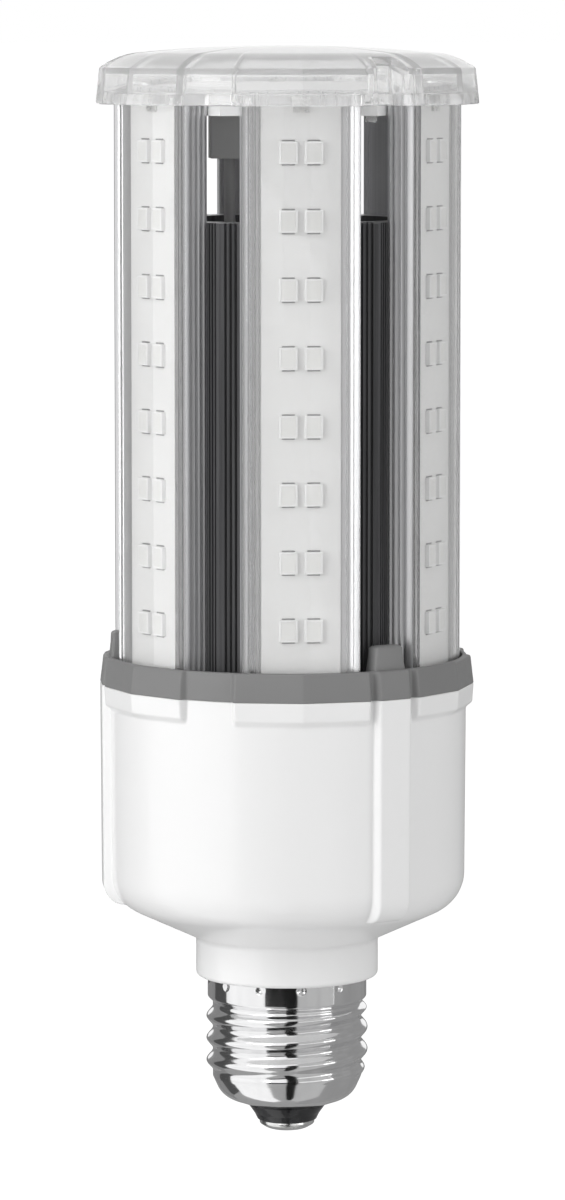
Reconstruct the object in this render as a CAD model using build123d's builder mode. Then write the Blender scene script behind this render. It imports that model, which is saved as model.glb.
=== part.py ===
from build123d import *
import os
from math import cos, degrees, radians, sin, tan

# LED retrofit lamp with a medium screw base, in millimetres.
# The origin is the tip of the centre contact and +Z runs up the lamp's axis.
os.makedirs("parts", exist_ok=True)

# Layout round the axis, angles in degrees from +X
segment_count = 6
first_segment_angle = -90
segment_step = 360 / segment_count
tab_count = 3
first_tab_angle = first_segment_angle + segment_step / 2

# Play between curved or sliding faces that nest
play = 0.1

# Centre contact
contact_radius = 4.5
contact_dome_radius = 3.6
contact_dome_rise = 0.8
contact_head_height = 1.8
contact_shank_radius = 1.6
contact_shank_length = 6.8
contact_bore_radius = 0.9
contact_bore_depth = 2.6

# Base insulator
insulator_foot_radius = 4.75
insulator_height = 2.6
insulator_top_radius = 6.4
insulator_hole_radius = 5.6
insulator_flange_radius = 8.0
insulator_flange_height = 1.7

# Screw shell with its rolled knuckle thread
thread_pitch = 3.629
thread_crest_radius = 13.1
thread_root_radius = 12.05
thread_start_height = 6.6
thread_start_angle = 90
thread_end_room = 1.12
thread_sink = 0.08
thread_root_land = 0.18
skirt_radius = 12.89
skirt_length = 3.5
skirt_shoulder = 0.8
shell_wall = 0.45
shell_dome_height = 5.5
shell_dome_arc_radius = 8.0
shell_length = 21.2
dimple_count = 12
dimple_radius = 0.7
dimple_depth = 0.3
dimple_drop = 0.7
first_dimple_angle = -84.4

# Driver housing
housing_wall = 2.0
neck_radius = 14.75
neck_length = 6.4
neck_edge_radius = 0.55
neck_bore_radius = 9.5
neck_relief = 0.9
spigot_gap = 0.9
cone_slope = 24.95
cone_neck_radius = 1.0
cone_wall_radius = 6.4
housing_draft = 0.2
housing_height = 41.4
pad_height = 3.0
pad_chamfer = 0.9
pad_draft = 0.2
lobe_seat = 1.5
pad_step = 1.3
lobe_half_angle = 21
lobe_side_angle = 1.2
rib_half_angle = 5.5
rib_draft = 0.2
rib_foot_height = 5.9
post_radius = 3.0
post_circle_radius = 21.0
driver_board_height = 12.0

# Collar ring
ring_height = 4.6
ring_wall = 0.95
ring_lobe_rise = 1.05
ring_draft = 0.55
ring_taper = 2.0
ring_floor_top = 2.6
ring_floor_thickness = 2.0
ring_bore_radius = 12.0
ring_spigot_depth = 3.0
ring_spigot_wall = 1.7
tab_height = 3.8
tab_foot_half_width = 3.4
tab_top_half_width = 2.4
tab_thickness = 3.3
tab_seat = 0.6
tab_lean = 0.6

# Heat sink core
core_face_distance = 21.7
core_bore_radius = 18.0
core_length = 72.0
core_groove_width = 0.4
core_groove_depth = 0.8
core_groove_pitch = 0.8
core_groove_margin = 0.6
core_groove_count = 3

# LED segments
segment_length = 92.0
segment_half_width = 9.3
channel_wall = 1.2
channel_base = 2.6
channel_side_height = 4.55
channel_groove_size = 0.45
channel_groove_pitch = 1.0
first_channel_groove = 0.9
channel_groove_count = 3
lead_notch_half_width = 2.2
lead_notch_depth = 2.6
led_board_half_width = 6.2
led_board_thickness = 1.0
led_board_inset = 1.5
chip_width = 2.8
chip_length = 3.5
chip_thickness = 0.7
chip_column_spacing = 3.94
chip_row_pitch = 10.67
chip_rows = 8
chip_columns = 2
first_chip_height = 8.4
cover_rise = 2.6
cover_wall = 1.0
cover_leg_width = 1.1
cover_gap = 0.3

# Top cap
cap_overlap = 1.7
cap_gap_reach = 1.7
cap_lobe_rise = 1.2
cap_height = 9.3
cap_draft = 6.0
cap_wall = 2.0
cap_web_radius = 21.9
cap_notch_depth = 3.2
cap_notch_half_width = 1.95
cap_notch_flare = 20
dome_shoulder_width = 6.3
dome_crown_drop = 1.15
dome_edge_inset = 0.5
dome_edge_drop = 4.7
cap_pin_radius = 1.0
cap_pin_circle_radius = 22.9
cap_pin_length = 2.6

# Junction board under the cap, its connector and jumpers
junction_board_thickness = 1.6
junction_board_gap = 0.3
connector_length = 9.0
connector_width = 7.0
connector_height = 7.0
connector_x = -8.0
connector_y = -2.0
jumper_width = 2.4
jumper_thickness = 0.4
jumper_rise = 0.5
jumper_reach = 2.2
jumper_tail = 1.2

# Driver board and what stands on it
driver_board_gap = 1.1
driver_board_thickness = 1.6
transformer_x = -4.0
transformer_y = 6.0
transformer_length = 22.0
transformer_depth = 10.0
transformer_height = 19.0
transformer_leg = 6.0
transformer_yoke = 3.5
winding_overhang = 3.6
input_capacitor_radius = 6.25
input_capacitor_height = 20.0
input_capacitor_x = 14.5
input_capacitor_y = 3.0
output_capacitor_radius = 5.0
output_capacitor_height = 17.0
output_capacitor_x = -14.0
output_capacitor_y = -9.5
capacitor_crimp_height = 2.4
capacitor_crimp_depth = 0.4
choke_radius = 5.0
choke_height = 12.0
choke_waist_radius = 2.4
choke_flange = 1.6
choke_x = -1.0
choke_y = -11.5
film_capacitor_length = 12.0
film_capacitor_width = 5.4
film_capacitor_height = 11.0
film_capacitor_edge = 0.6
film_capacitor_x = 12.0
film_capacitor_y = -11.8
rectifier_length = 7.0
rectifier_width = 4.0
rectifier_height = 6.0
rectifier_x = 15.5
rectifier_y = -6.4
fuse_radius = 1.7
fuse_length = 9.0
fuse_cap_length = 2.0
fuse_x = -3.0
fuse_y = -20.0
varistor_radius = 4.5
varistor_thickness = 4.2
varistor_edge_radius = 1.2
varistor_x = -2.0
varistor_y = 19.5
transistor_width = 10.0
transistor_thickness = 4.6
transistor_height = 9.0
transistor_tab_height = 15.0
transistor_tab_thickness = 1.3
transistor_tab_hole_radius = 1.8
transistor_x = -17.5
transistor_y = 9.0

# Leads
lead_radius = 0.6
output_lead_radius = 0.9
output_lead_x = 1.6
output_lead_y = -4.7
output_lead_spacing = 2.8
output_lead_straight = 76.0
output_lead_run = 12.0
output_lead_bend_radius = 18.0
neutral_lead_x = -7.4
neutral_lead_reach = 10.9
neutral_lead_drop = 1.6
lead_bend_radius = 1.6

# Screws
screw_radius = 1.5
screw_head_radius = 2.75
screw_head_height = 2.0
screw_edge_radius = 0.6
screw_recess_width = 0.8
screw_recess_depth = 1.0
driver_screw_length = 6.0
pilot_extra_depth = 0.4
collar_screw_length = 9.0

# Heights of the seats, worked up from the contact
insulator_foot = contact_head_height
shell_foot = insulator_foot + insulator_height
shell_top = shell_foot + shell_length
skirt_foot = shell_top - skirt_length
thread_room = skirt_foot - thread_end_room - shell_foot - thread_start_height
thread_turns = round(thread_room / thread_pitch, 2)
spigot_foot = shell_foot + shell_dome_height + spigot_gap
neutral_lead_height = spigot_foot - neutral_lead_drop
cone_foot = shell_top + neck_length
ring_foot = cone_foot + housing_height
floor_top = ring_foot + ring_floor_top
floor_foot = floor_top - ring_floor_thickness
ring_top = ring_foot + ring_height
driver_board_foot = cone_foot + driver_board_height
driver_board_top = driver_board_foot + driver_board_thickness
core_top = floor_top + core_length
segment_top = floor_top + segment_length
cap_foot = segment_top - cap_overlap
junction_board_foot = cap_foot - junction_board_thickness
led_board_face = core_face_distance + channel_base + led_board_thickness
core_corner_radius = core_face_distance / cos(radians(segment_step / 2))
screw_circle_radius = (core_bore_radius + core_corner_radius) / 2

# Radii that follow from the walls
shell_bore_radius = thread_root_radius - shell_wall
skirt_bore_radius = skirt_radius - shell_wall

# Radii worked out from the core: segments, ring, pads and housing, and the cap
cover_radius = led_board_face + cover_rise
ring_trough_radius = cover_radius + cover_gap
ring_gap_radius = ring_trough_radius + ring_wall
ring_lobe_radius = ring_gap_radius + ring_lobe_rise
pad_radius = ring_lobe_radius
rib_foot_radius = pad_radius - rib_draft
housing_rim_radius = pad_radius - pad_step
housing_foot_radius = housing_rim_radius - housing_draft
housing_bore_radius = housing_foot_radius - housing_wall
lobe_root_radius = housing_foot_radius - lobe_seat
driver_board_radius = housing_bore_radius - driver_board_gap
cap_gap_radius = cover_radius + cap_gap_reach
cap_lobe_radius = cap_gap_radius + cap_lobe_rise
cap_notch_radius = cap_gap_radius - cap_notch_depth
dome_edge_radius = cap_lobe_radius - dome_edge_inset
dome_crown_radius = dome_edge_radius - dome_shoulder_width


def polar(radius, angle):
    """Point at a radius and an angle in degrees."""
    return (radius * cos(radians(angle)), radius * sin(radians(angle)))


def segment_plane(index, height):
    """Level plane whose x axis points out through one segment."""
    return Plane.XY.offset(height).rotated((0, 0, first_segment_angle + index * segment_step))


def tab_plane(index, height):
    """Level plane whose x axis points out through one tab of the collar ring."""
    return Plane.XY.offset(height).rotated((0, 0, first_tab_angle + index * 360 / tab_count))


def lobe_section(plane, radius, foot_radius):
    """One lobe over a segment: two flats that meet in a low ridge, closed inside the wall."""
    foot_angle = lobe_half_angle + lobe_side_angle
    corners = [
        polar(foot_radius, -foot_angle),
        polar(radius, -lobe_half_angle),
        polar(radius, 0),
        polar(radius, lobe_half_angle),
        polar(foot_radius, foot_angle),
    ]
    with BuildSketch(plane) as section:
        Polygon(*corners, align=None)
    return section.sketch


def rib_section(plane, radius, foot_radius):
    """One rib in line with a tab, closed inside the wall."""
    foot_angle = rib_half_angle + lobe_side_angle
    corners = [
        polar(foot_radius, -foot_angle),
        polar(radius, -rib_half_angle),
        polar(radius, rib_half_angle),
        polar(foot_radius, foot_angle),
    ]
    with BuildSketch(plane) as section:
        Polygon(*corners, align=None)
    return section.sketch


def segment_outline(plane, clearance):
    """Cross-section of a whole LED segment, grown by a clearance."""
    with BuildSketch(plane) as section:
        with Locations((core_face_distance - clearance, 0)):
            Rectangle(
                cover_radius,
                2 * (segment_half_width + clearance),
                align=(Align.MIN, Align.CENTER),
            )
        Circle(cover_radius + clearance, mode=Mode.INTERSECT)
    return section.sketch


def lobe_inset_angle(inset):
    """Angle by which a lobe's side moves in when the outline is inset."""
    return degrees(inset / cap_lobe_radius)


def cap_outline(plane, inset):
    """Outline of the cap: lobes over the segments and a deep notch over each tab."""
    with BuildSketch(plane) as outline:
        Circle(cap_gap_radius - inset)
        for index in range(segment_count):
            angle = first_segment_angle + index * segment_step
            with Locations(Rotation(0, 0, angle)):
                Polygon(
                    (0, 0),
                    polar(cap_lobe_radius - inset, -lobe_half_angle + lobe_inset_angle(inset)),
                    polar(cap_lobe_radius - inset, 0),
                    polar(cap_lobe_radius - inset, lobe_half_angle - lobe_inset_angle(inset)),
                    align=None,
                )
        for index in range(tab_count):
            angle = first_tab_angle + index * 360 / tab_count
            reach = 2 * (cap_lobe_radius - cap_notch_radius)
            mouth = cap_notch_half_width + inset + reach * tan(radians(cap_notch_flare))
            floor = cap_notch_radius - inset
            with Locations(Rotation(0, 0, angle)):
                Polygon(
                    (floor, -cap_notch_half_width - inset),
                    (floor + reach, -mouth),
                    (floor + reach, mouth),
                    (floor, cap_notch_half_width + inset),
                    align=None,
                    mode=Mode.SUBTRACT,
                )
    return outline.sketch


def save(piece, name):
    """Label a piece and write it to its own file."""
    piece.label = name
    export_step(piece, f"parts/{name}.step")


# Centre contact: domed head below the insulator and a hollow shank through it
contact_arc_radius = (contact_dome_radius**2 + contact_dome_rise**2) / (2 * contact_dome_rise)
with BuildPart() as centre_contact:
    with BuildSketch(Plane.XZ):
        with BuildLine():
            dome = RadiusArc((0, 0), (contact_dome_radius, contact_dome_rise), -contact_arc_radius)
            edge = TangentArc(
                dome @ 1, (contact_radius, contact_head_height), tangent=dome % 1
            )
            Polyline(
                edge @ 1,
                (contact_shank_radius, contact_head_height),
                (contact_shank_radius, contact_head_height + contact_shank_length),
                (0, contact_head_height + contact_shank_length),
                (0, 0),
            )
        make_face()
    revolve(axis=Axis.Z)
    with Locations((0, 0, contact_head_height + contact_shank_length)):
        Hole(contact_bore_radius, contact_bore_depth)
centre_contact.part.label = "centre_contact"
export_step(centre_contact.part, "parts/centre_contact.step")

# Base insulator: moulded cone that holds the shell's bottom edge
with BuildPart() as base_insulator:
    with BuildSketch(Plane.XZ):
        bore = contact_shank_radius + play
        flange_foot = shell_foot + shell_wall
        flange_top = flange_foot + insulator_flange_height
        with BuildLine():
            Polyline(
                (bore, insulator_foot),
                (insulator_foot_radius, insulator_foot),
                (insulator_top_radius, shell_foot),
                (insulator_hole_radius, shell_foot),
                (insulator_hole_radius, flange_foot),
                (insulator_top_radius, flange_foot),
                (insulator_flange_radius, flange_top),
                (bore, flange_top),
                close=True,
            )
        make_face()
    revolve(axis=Axis.Z)
base_insulator.part.label = "base_insulator"
export_step(base_insulator.part, "parts/base_insulator.step")

# Knuckle ridge of the thread: crest and root arcs of one radius, wound right-handed
with BuildPart() as thread_ridge:
    rise = thread_crest_radius - thread_root_radius + thread_sink
    quarter = thread_pitch / 4
    knuckle_radius = (quarter**2 + (rise / 2) ** 2) / rise
    knee = rise / 2 - thread_sink
    heel = -shell_wall / 2
    foot = (thread_pitch - thread_root_land) / 2
    with BuildLine() as thread_path:
        Helix(
            thread_pitch,
            thread_pitch * thread_turns,
            thread_root_radius,
            center=(0, 0, shell_foot + thread_start_height),
        )
    ridge_plane = Plane(
        origin=thread_path.line @ 0, x_dir=(1, 0, 0), z_dir=thread_path.line % 0
    )
    with BuildSketch(ridge_plane) as ridge:
        with BuildLine():
            RadiusArc((-thread_sink, -foot), (knee, -quarter), knuckle_radius)
            RadiusArc((knee, -quarter), (knee, quarter), -knuckle_radius)
            RadiusArc((knee, quarter), (-thread_sink, foot), knuckle_radius)
            Polyline(
                (-thread_sink, foot),
                (heel, foot),
                (heel, -foot),
                (-thread_sink, -foot),
            )
        make_face()
    sweep(ridge.sketch, path=thread_path.line, is_frenet=True)

# Screw shell: drawn cup with a flat bottom edge, a domed shoulder, thread and plain skirt
shell_dome_top = shell_foot + shell_dome_height
with BuildPart() as screw_shell:
    with BuildSketch(Plane.XZ):
        with BuildLine():
            Polyline(
                (thread_root_radius, shell_dome_top),
                (thread_root_radius, skirt_foot - skirt_shoulder),
                (skirt_radius, skirt_foot),
                (skirt_radius, shell_top),
                (skirt_bore_radius, shell_top),
                (skirt_bore_radius, skirt_foot),
                (shell_bore_radius, skirt_foot - skirt_shoulder),
                (shell_bore_radius, shell_dome_top),
            )
            RadiusArc(
                (insulator_top_radius, shell_foot),
                (thread_root_radius, shell_dome_top),
                -shell_dome_arc_radius,
            )
            RadiusArc(
                (insulator_top_radius, shell_foot + shell_wall),
                (shell_bore_radius, shell_dome_top),
                -shell_dome_arc_radius,
            )
            Polyline(
                (insulator_top_radius, shell_foot),
                (insulator_hole_radius, shell_foot),
                (insulator_hole_radius, shell_foot + shell_wall),
                (insulator_top_radius, shell_foot + shell_wall),
            )
        make_face()
    revolve(axis=Axis.Z)

    with Locations(Rotation(0, 0, thread_start_angle)):
        add(thread_ridge.part)

    # Staking dimples that pin the skirt to the neck
    for index in range(dimple_count):
        angle = first_dimple_angle + index * 360 / dimple_count
        ball_radius = (dimple_radius**2 + dimple_depth**2) / (2 * dimple_depth)
        x, y = polar(skirt_radius + ball_radius - dimple_depth, angle)
        with Locations((x, y, shell_top - dimple_drop)):
            Sphere(ball_radius, mode=Mode.SUBTRACT)
screw_shell.part.label = "screw_shell"
export_step(screw_shell.part, "parts/screw_shell.step")

# Driver housing: neck, cone and wall turned in one, hollow, with posts for the board
housing_rim = ring_foot
wall_foot = cone_foot + (housing_foot_radius - neck_radius) * tan(radians(cone_slope))
cone_lift = housing_wall / cos(radians(cone_slope))
cavity_foot = cone_foot + cone_lift - (neck_radius - neck_bore_radius) * tan(radians(cone_slope))
with BuildPart() as housing_cavity:
    with BuildSketch(Plane.XZ):
        with BuildLine():
            Polyline(
                (0, spigot_foot),
                (neck_bore_radius, spigot_foot),
                (neck_bore_radius, cavity_foot),
                (housing_bore_radius, wall_foot + cone_lift),
                (housing_rim_radius - housing_wall, housing_rim),
                (0, housing_rim),
                close=True,
            )
        cavity_face = make_face()
        corners = cavity_face.vertices()
        cavity_corner = corners.sort_by_distance((housing_bore_radius, wall_foot + cone_lift))[0]
        fillet(cavity_corner, cone_wall_radius - housing_wall)
    revolve(axis=Axis.Z)
    with PolarLocations(post_circle_radius, tab_count, first_tab_angle):
        Cylinder(
            post_radius,
            driver_board_foot,
            align=(Align.CENTER, Align.CENTER, Align.MIN),
            mode=Mode.SUBTRACT,
        )

with BuildPart() as driver_housing:
    with BuildSketch(Plane.XZ):
        with BuildLine():
            Polyline(
                (0, spigot_foot),
                (shell_bore_radius - play, spigot_foot),
                (shell_bore_radius - play, skirt_foot - skirt_shoulder + neck_relief),
                (skirt_bore_radius - dimple_depth - play, skirt_foot + neck_relief),
                (skirt_bore_radius - dimple_depth - play, shell_top),
                (neck_radius, shell_top),
                (neck_radius, cone_foot),
                (housing_foot_radius, wall_foot),
                (housing_rim_radius, housing_rim),
                (0, housing_rim),
                close=True,
            )
        housing_face = make_face()
        corners = housing_face.vertices()
        fillet(corners.sort_by_distance((housing_foot_radius, wall_foot))[0], cone_wall_radius)
        fillet(corners.sort_by_distance((neck_radius, cone_foot))[0], cone_neck_radius)
        fillet(corners.sort_by_distance((neck_radius, shell_top))[0], neck_edge_radius)
    revolve(axis=Axis.Z)

    # Six pads under the collar ring, each with a chamfered foot
    pad_foot = housing_rim - pad_height
    for index in range(segment_count):
        foot = lobe_section(
            segment_plane(index, pad_foot - pad_chamfer), housing_rim_radius, lobe_root_radius
        )
        knee = lobe_section(
            segment_plane(index, pad_foot), pad_radius - pad_draft, lobe_root_radius
        )
        rim = lobe_section(
            segment_plane(index, housing_rim), pad_radius, lobe_root_radius
        )
        loft(sections=[foot, knee], ruled=True)
        loft(sections=[knee, rim], ruled=True)

    # Three ribs that run down to a small ledge on the cone
    for index in range(tab_count):
        ledge = rib_section(
            tab_plane(index, cone_foot + rib_foot_height), rib_foot_radius, lobe_root_radius
        )
        rim = rib_section(tab_plane(index, housing_rim), pad_radius, lobe_root_radius)
        loft(sections=[ledge, rim], ruled=True)

    add(housing_cavity.part, mode=Mode.SUBTRACT)

    # Pilot holes down the posts
    pilot_depth = driver_screw_length - driver_board_thickness + pilot_extra_depth
    with Locations(Plane.XY.offset(driver_board_foot)):
        with PolarLocations(post_circle_radius, tab_count, first_tab_angle):
            Hole(screw_radius + play / 2, pilot_depth)
driver_housing.part.label = "driver_housing"
export_step(driver_housing.part, "parts/driver_housing.step")

# Collar ring: floor that carries the segments, outer wall with lobes, spigot and tabs
ring_spigot_radius = housing_bore_radius - play
with BuildPart() as collar_ring:
    with BuildSketch(Plane.XY.offset(ring_foot)):
        Circle(ring_gap_radius)
    extrude(amount=ring_height, taper=ring_taper)
    for index in range(segment_count):
        foot = lobe_section(segment_plane(index, ring_foot), ring_lobe_radius, ring_trough_radius)
        rim = lobe_section(
            segment_plane(index, ring_top), ring_lobe_radius - ring_draft, ring_trough_radius
        )
        loft(sections=[foot, rim], ruled=True)
    for index in range(tab_count):
        foot = rib_section(tab_plane(index, ring_foot), ring_lobe_radius, ring_trough_radius)
        rim = rib_section(
            tab_plane(index, ring_top), ring_lobe_radius - ring_draft, ring_trough_radius
        )
        loft(sections=[foot, rim], ruled=True)
    with BuildSketch(Plane.XY.offset(floor_top)):
        Circle(ring_trough_radius)
    extrude(amount=ring_height, mode=Mode.SUBTRACT)
    with BuildSketch(Plane.XY.offset(ring_foot)):
        Circle(ring_spigot_radius)
    extrude(amount=floor_foot - ring_foot, mode=Mode.SUBTRACT)
    with BuildSketch(Plane.XY.offset(floor_foot)):
        Circle(ring_spigot_radius)
        Circle(ring_spigot_radius - ring_spigot_wall, mode=Mode.SUBTRACT)
    extrude(amount=ring_foot - ring_spigot_depth - floor_foot)
    for index in range(tab_count):
        with BuildSketch(tab_plane(index, floor_top - tab_seat)) as tab_foot:
            with Locations((ring_trough_radius + tab_seat, 0)):
                Rectangle(
                    tab_thickness,
                    2 * tab_foot_half_width,
                    align=(Align.MAX, Align.CENTER),
                )
        with BuildSketch(tab_plane(index, ring_top + tab_height)) as tab_top:
            with Locations((ring_trough_radius + tab_seat - tab_lean, 0)):
                Rectangle(
                    tab_thickness - 2 * tab_lean,
                    2 * tab_top_half_width,
                    align=(Align.MAX, Align.CENTER),
                )
        loft(sections=[tab_foot.sketch, tab_top.sketch], ruled=True)
    with BuildSketch(Plane.XY.offset(floor_foot)):
        Circle(ring_bore_radius)
        with PolarLocations(screw_circle_radius, tab_count, first_tab_angle):
            Circle(screw_radius + play)
    extrude(amount=ring_floor_thickness, mode=Mode.SUBTRACT)
collar_ring.part.label = "collar_ring"
export_step(collar_ring.part, "parts/collar_ring.step")

# Heat sink core: six-sided extrusion with a round bore and grooved strips in the gaps
with BuildPart() as heat_sink_core:
    with BuildSketch(Plane.XY.offset(floor_top)):
        RegularPolygon(
            core_face_distance,
            segment_count,
            major_radius=False,
            rotation=first_segment_angle + segment_step / 2,
        )
        Circle(core_bore_radius, mode=Mode.SUBTRACT)
        for index in range(segment_count):
            angle = first_segment_angle + index * segment_step
            for groove in range(core_groove_count):
                offset_y = segment_half_width + core_groove_margin + groove * core_groove_pitch
                for side in (-1, 1):
                    with Locations(Rotation(0, 0, angle)):
                        with Locations((core_face_distance, side * offset_y)):
                            Rectangle(
                                2 * core_groove_depth, core_groove_width, mode=Mode.SUBTRACT
                            )
        with PolarLocations(screw_circle_radius, tab_count, first_tab_angle):
            Circle(screw_radius + play / 2, mode=Mode.SUBTRACT)
    extrude(amount=core_length)
heat_sink_core.part.label = "heat_sink_core"
export_step(heat_sink_core.part, "parts/heat_sink_core.step")

# LED segments: channel, board, chips and cover, one set for each face of the core
channel_top = core_face_distance + channel_side_height
board_length = segment_length - led_board_inset
for index in range(segment_count):
    number = index + 1
    seat = segment_plane(index, floor_top)

    with BuildPart() as channel:
        with BuildSketch(seat):
            with Locations((core_face_distance, 0)):
                Rectangle(
                    channel_side_height, 2 * segment_half_width, align=(Align.MIN, Align.CENTER)
                )
            with Locations((core_face_distance + channel_base, 0)):
                Rectangle(
                    channel_side_height,
                    2 * (segment_half_width - channel_wall),
                    align=(Align.MIN, Align.CENTER),
                    mode=Mode.SUBTRACT,
                )
            for groove in range(channel_groove_count):
                groove_x = core_face_distance + first_channel_groove + groove * channel_groove_pitch
                for side in (-1, 1):
                    with Locations((groove_x, side * segment_half_width)):
                        Rectangle(
                            channel_groove_size,
                            channel_groove_size,
                            rotation=45,
                            mode=Mode.SUBTRACT,
                        )
        extrude(amount=segment_length)
        with BuildSketch(segment_plane(index, segment_top)):
            with Locations((core_face_distance, 0)):
                Rectangle(
                    channel_base, 2 * lead_notch_half_width, align=(Align.MIN, Align.CENTER)
                )
        extrude(amount=-lead_notch_depth, mode=Mode.SUBTRACT)
    channel.part.label = f"segment_channel_{number}"
    export_step(channel.part, f"parts/segment_channel_{number}.step")

    with BuildPart() as led_board:
        with BuildSketch(seat):
            with Locations((core_face_distance + channel_base, 0)):
                Rectangle(
                    led_board_thickness, 2 * led_board_half_width, align=(Align.MIN, Align.CENTER)
                )
        extrude(amount=board_length)
    led_board.part.label = f"led_board_{number}"
    export_step(led_board.part, f"parts/led_board_{number}.step")

    board_front = Plane(
        origin=seat.from_local_coords((led_board_face, 0, 0)),
        x_dir=seat.y_dir,
        z_dir=seat.x_dir,
    )
    with BuildPart() as led_chips:
        with BuildSketch(board_front):
            middle = first_chip_height + (chip_rows - 1) * chip_row_pitch / 2
            with Locations((0, middle)):
                with GridLocations(chip_column_spacing, chip_row_pitch, chip_columns, chip_rows):
                    Rectangle(chip_width, chip_length)
        extrude(amount=chip_thickness)
    led_chips.part.label = f"led_chips_{number}"
    export_step(led_chips.part, f"parts/led_chips_{number}.step")

    with BuildPart() as cover:
        inner_half_width = segment_half_width - channel_wall - play / 2
        with BuildSketch(seat):
            with Locations((channel_top, 0)):
                Rectangle(
                    cover_radius, 2 * segment_half_width, align=(Align.MIN, Align.CENTER)
                )
            for side in (-1, 1):
                with Locations((core_face_distance + channel_base, side * inner_half_width)):
                    Rectangle(
                        channel_side_height,
                        cover_leg_width,
                        align=(Align.MIN, Align.MAX if side > 0 else Align.MIN),
                    )
            Circle(cover_radius, mode=Mode.INTERSECT)
            with BuildSketch(mode=Mode.PRIVATE) as inside:
                Circle(cover_radius - cover_wall)
                Rectangle(
                    2 * cover_radius,
                    2 * (inner_half_width - cover_leg_width),
                    mode=Mode.INTERSECT,
                )
            add(inside.sketch, mode=Mode.SUBTRACT)
        extrude(amount=segment_length)
    cover.part.label = f"segment_cover_{number}"
    export_step(cover.part, f"parts/segment_cover_{number}.step")

# Top cap: lobed wall with draft, domed top, pockets for the segment ends and three pins
cap_top = cap_foot + cap_height


def dome_section(top, foot):
    """Half section below the cap's dome: a flat crown and a tighter shoulder, tangent to it."""
    with BuildSketch(Plane.XZ) as section:
        with BuildLine():
            crown = TangentArc(
                (0, top), (dome_crown_radius, top - dome_crown_drop), tangent=(1, 0)
            )
            shoulder = TangentArc(
                crown @ 1, (dome_edge_radius, top - dome_edge_drop), tangent=crown % 1
            )
            Polyline(
                shoulder @ 1,
                (cap_lobe_radius, top - dome_edge_drop),
                (cap_lobe_radius, foot),
                (0, foot),
                (0, top),
            )
        make_face()
    return section.sketch


with BuildPart() as cap_cavity:
    extrude(cap_outline(Plane.XY.offset(segment_top), cap_wall), amount=cap_top - segment_top)
    revolve(dome_section(cap_top - cap_wall, cap_foot), axis=Axis.Z, mode=Mode.INTERSECT)

with BuildPart() as top_cap:
    extrude(cap_outline(Plane.XY.offset(cap_foot), 0), amount=cap_top - cap_foot, taper=cap_draft)
    revolve(dome_section(cap_top, cap_foot), axis=Axis.Z, mode=Mode.INTERSECT)
    add(cap_cavity.part, mode=Mode.SUBTRACT)
    with BuildSketch(Plane.XY.offset(cap_foot)):
        Circle(cap_web_radius)
        for index in range(segment_count):
            add(segment_outline(segment_plane(index, 0), play))
    extrude(amount=cap_overlap, mode=Mode.SUBTRACT)
    with BuildSketch(Plane.XY.offset(cap_foot + cap_overlap / 2)):
        with PolarLocations(cap_pin_circle_radius, tab_count, first_tab_angle):
            Circle(cap_pin_radius)
    extrude(amount=-cap_overlap / 2 - cap_pin_length)
top_cap.part.label = "top_cap"
export_step(top_cap.part, "parts/top_cap.step")

# Junction board: hangs under the cap's web on the three pins
with BuildPart() as junction_board:
    with BuildSketch(Plane.XY.offset(junction_board_foot)):
        RegularPolygon(
            core_face_distance - junction_board_gap,
            segment_count,
            major_radius=False,
            rotation=first_segment_angle + segment_step / 2,
        )
        with PolarLocations(cap_pin_circle_radius, tab_count, first_tab_angle):
            Circle(cap_pin_radius + play, mode=Mode.SUBTRACT)
    extrude(amount=junction_board_thickness)
junction_board.part.label = "junction_board"
export_step(junction_board.part, "parts/junction_board.step")

connector_foot = junction_board_foot - connector_height
with BuildPart() as junction_connector:
    with BuildSketch(Plane.XY.offset(connector_foot)):
        with Locations((connector_x, connector_y)):
            Rectangle(connector_length, connector_width)
    extrude(amount=connector_height)
junction_connector.part.label = "junction_connector"
export_step(junction_connector.part, "parts/junction_connector.step")

# Flat jumpers that carry the current over each channel's end to the LED board
with BuildPart() as board_jumpers:
    jumper_top = floor_top + board_length + jumper_rise
    outer_x = led_board_face + jumper_thickness
    inner_x = core_face_distance - junction_board_gap - jumper_reach
    for index in range(segment_count):
        seat = segment_plane(index, 0)
        side = Plane(origin=seat.origin, x_dir=seat.x_dir, z_dir=-seat.y_dir)
        with BuildSketch(side) as strip:
            with BuildLine():
                FilletPolyline(
                    (outer_x, floor_top + board_length - jumper_tail),
                    (outer_x, jumper_top + jumper_thickness),
                    (inner_x, jumper_top + jumper_thickness),
                    (inner_x, cap_foot),
                    radius=jumper_thickness,
                )
                Polyline(
                    (inner_x, cap_foot),
                    (inner_x + jumper_thickness, cap_foot),
                    (inner_x + jumper_thickness, jumper_top),
                    (led_board_face, jumper_top),
                    (led_board_face, floor_top + board_length - jumper_tail),
                    (outer_x, floor_top + board_length - jumper_tail),
                )
            make_face()
        extrude(strip.sketch, amount=jumper_width / 2, both=True)
board_jumpers.part.label = "board_jumpers"
export_step(board_jumpers.part, "parts/board_jumpers.step")

# Driver board on the three posts
with BuildPart() as driver_board:
    with BuildSketch(Plane.XY.offset(driver_board_foot)):
        Circle(driver_board_radius)
        with PolarLocations(post_circle_radius, tab_count, first_tab_angle):
            Circle(screw_radius + play, mode=Mode.SUBTRACT)
    extrude(amount=driver_board_thickness)
driver_board.part.label = "driver_board"
export_step(driver_board.part, "parts/driver_board.step")


def block(x, y, length, width, height, edge=0.0):
    """Moulded block that stands on the driver board, its top edges rounded."""
    with BuildPart(Plane((x, y, driver_board_top))) as body:
        Box(length, width, height, align=(Align.CENTER, Align.CENTER, Align.MIN))
        if edge:
            fillet(body.edges().filter_by(Axis.Z, reverse=True).group_by(Axis.Z)[-1], edge)
    return body.part


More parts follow.
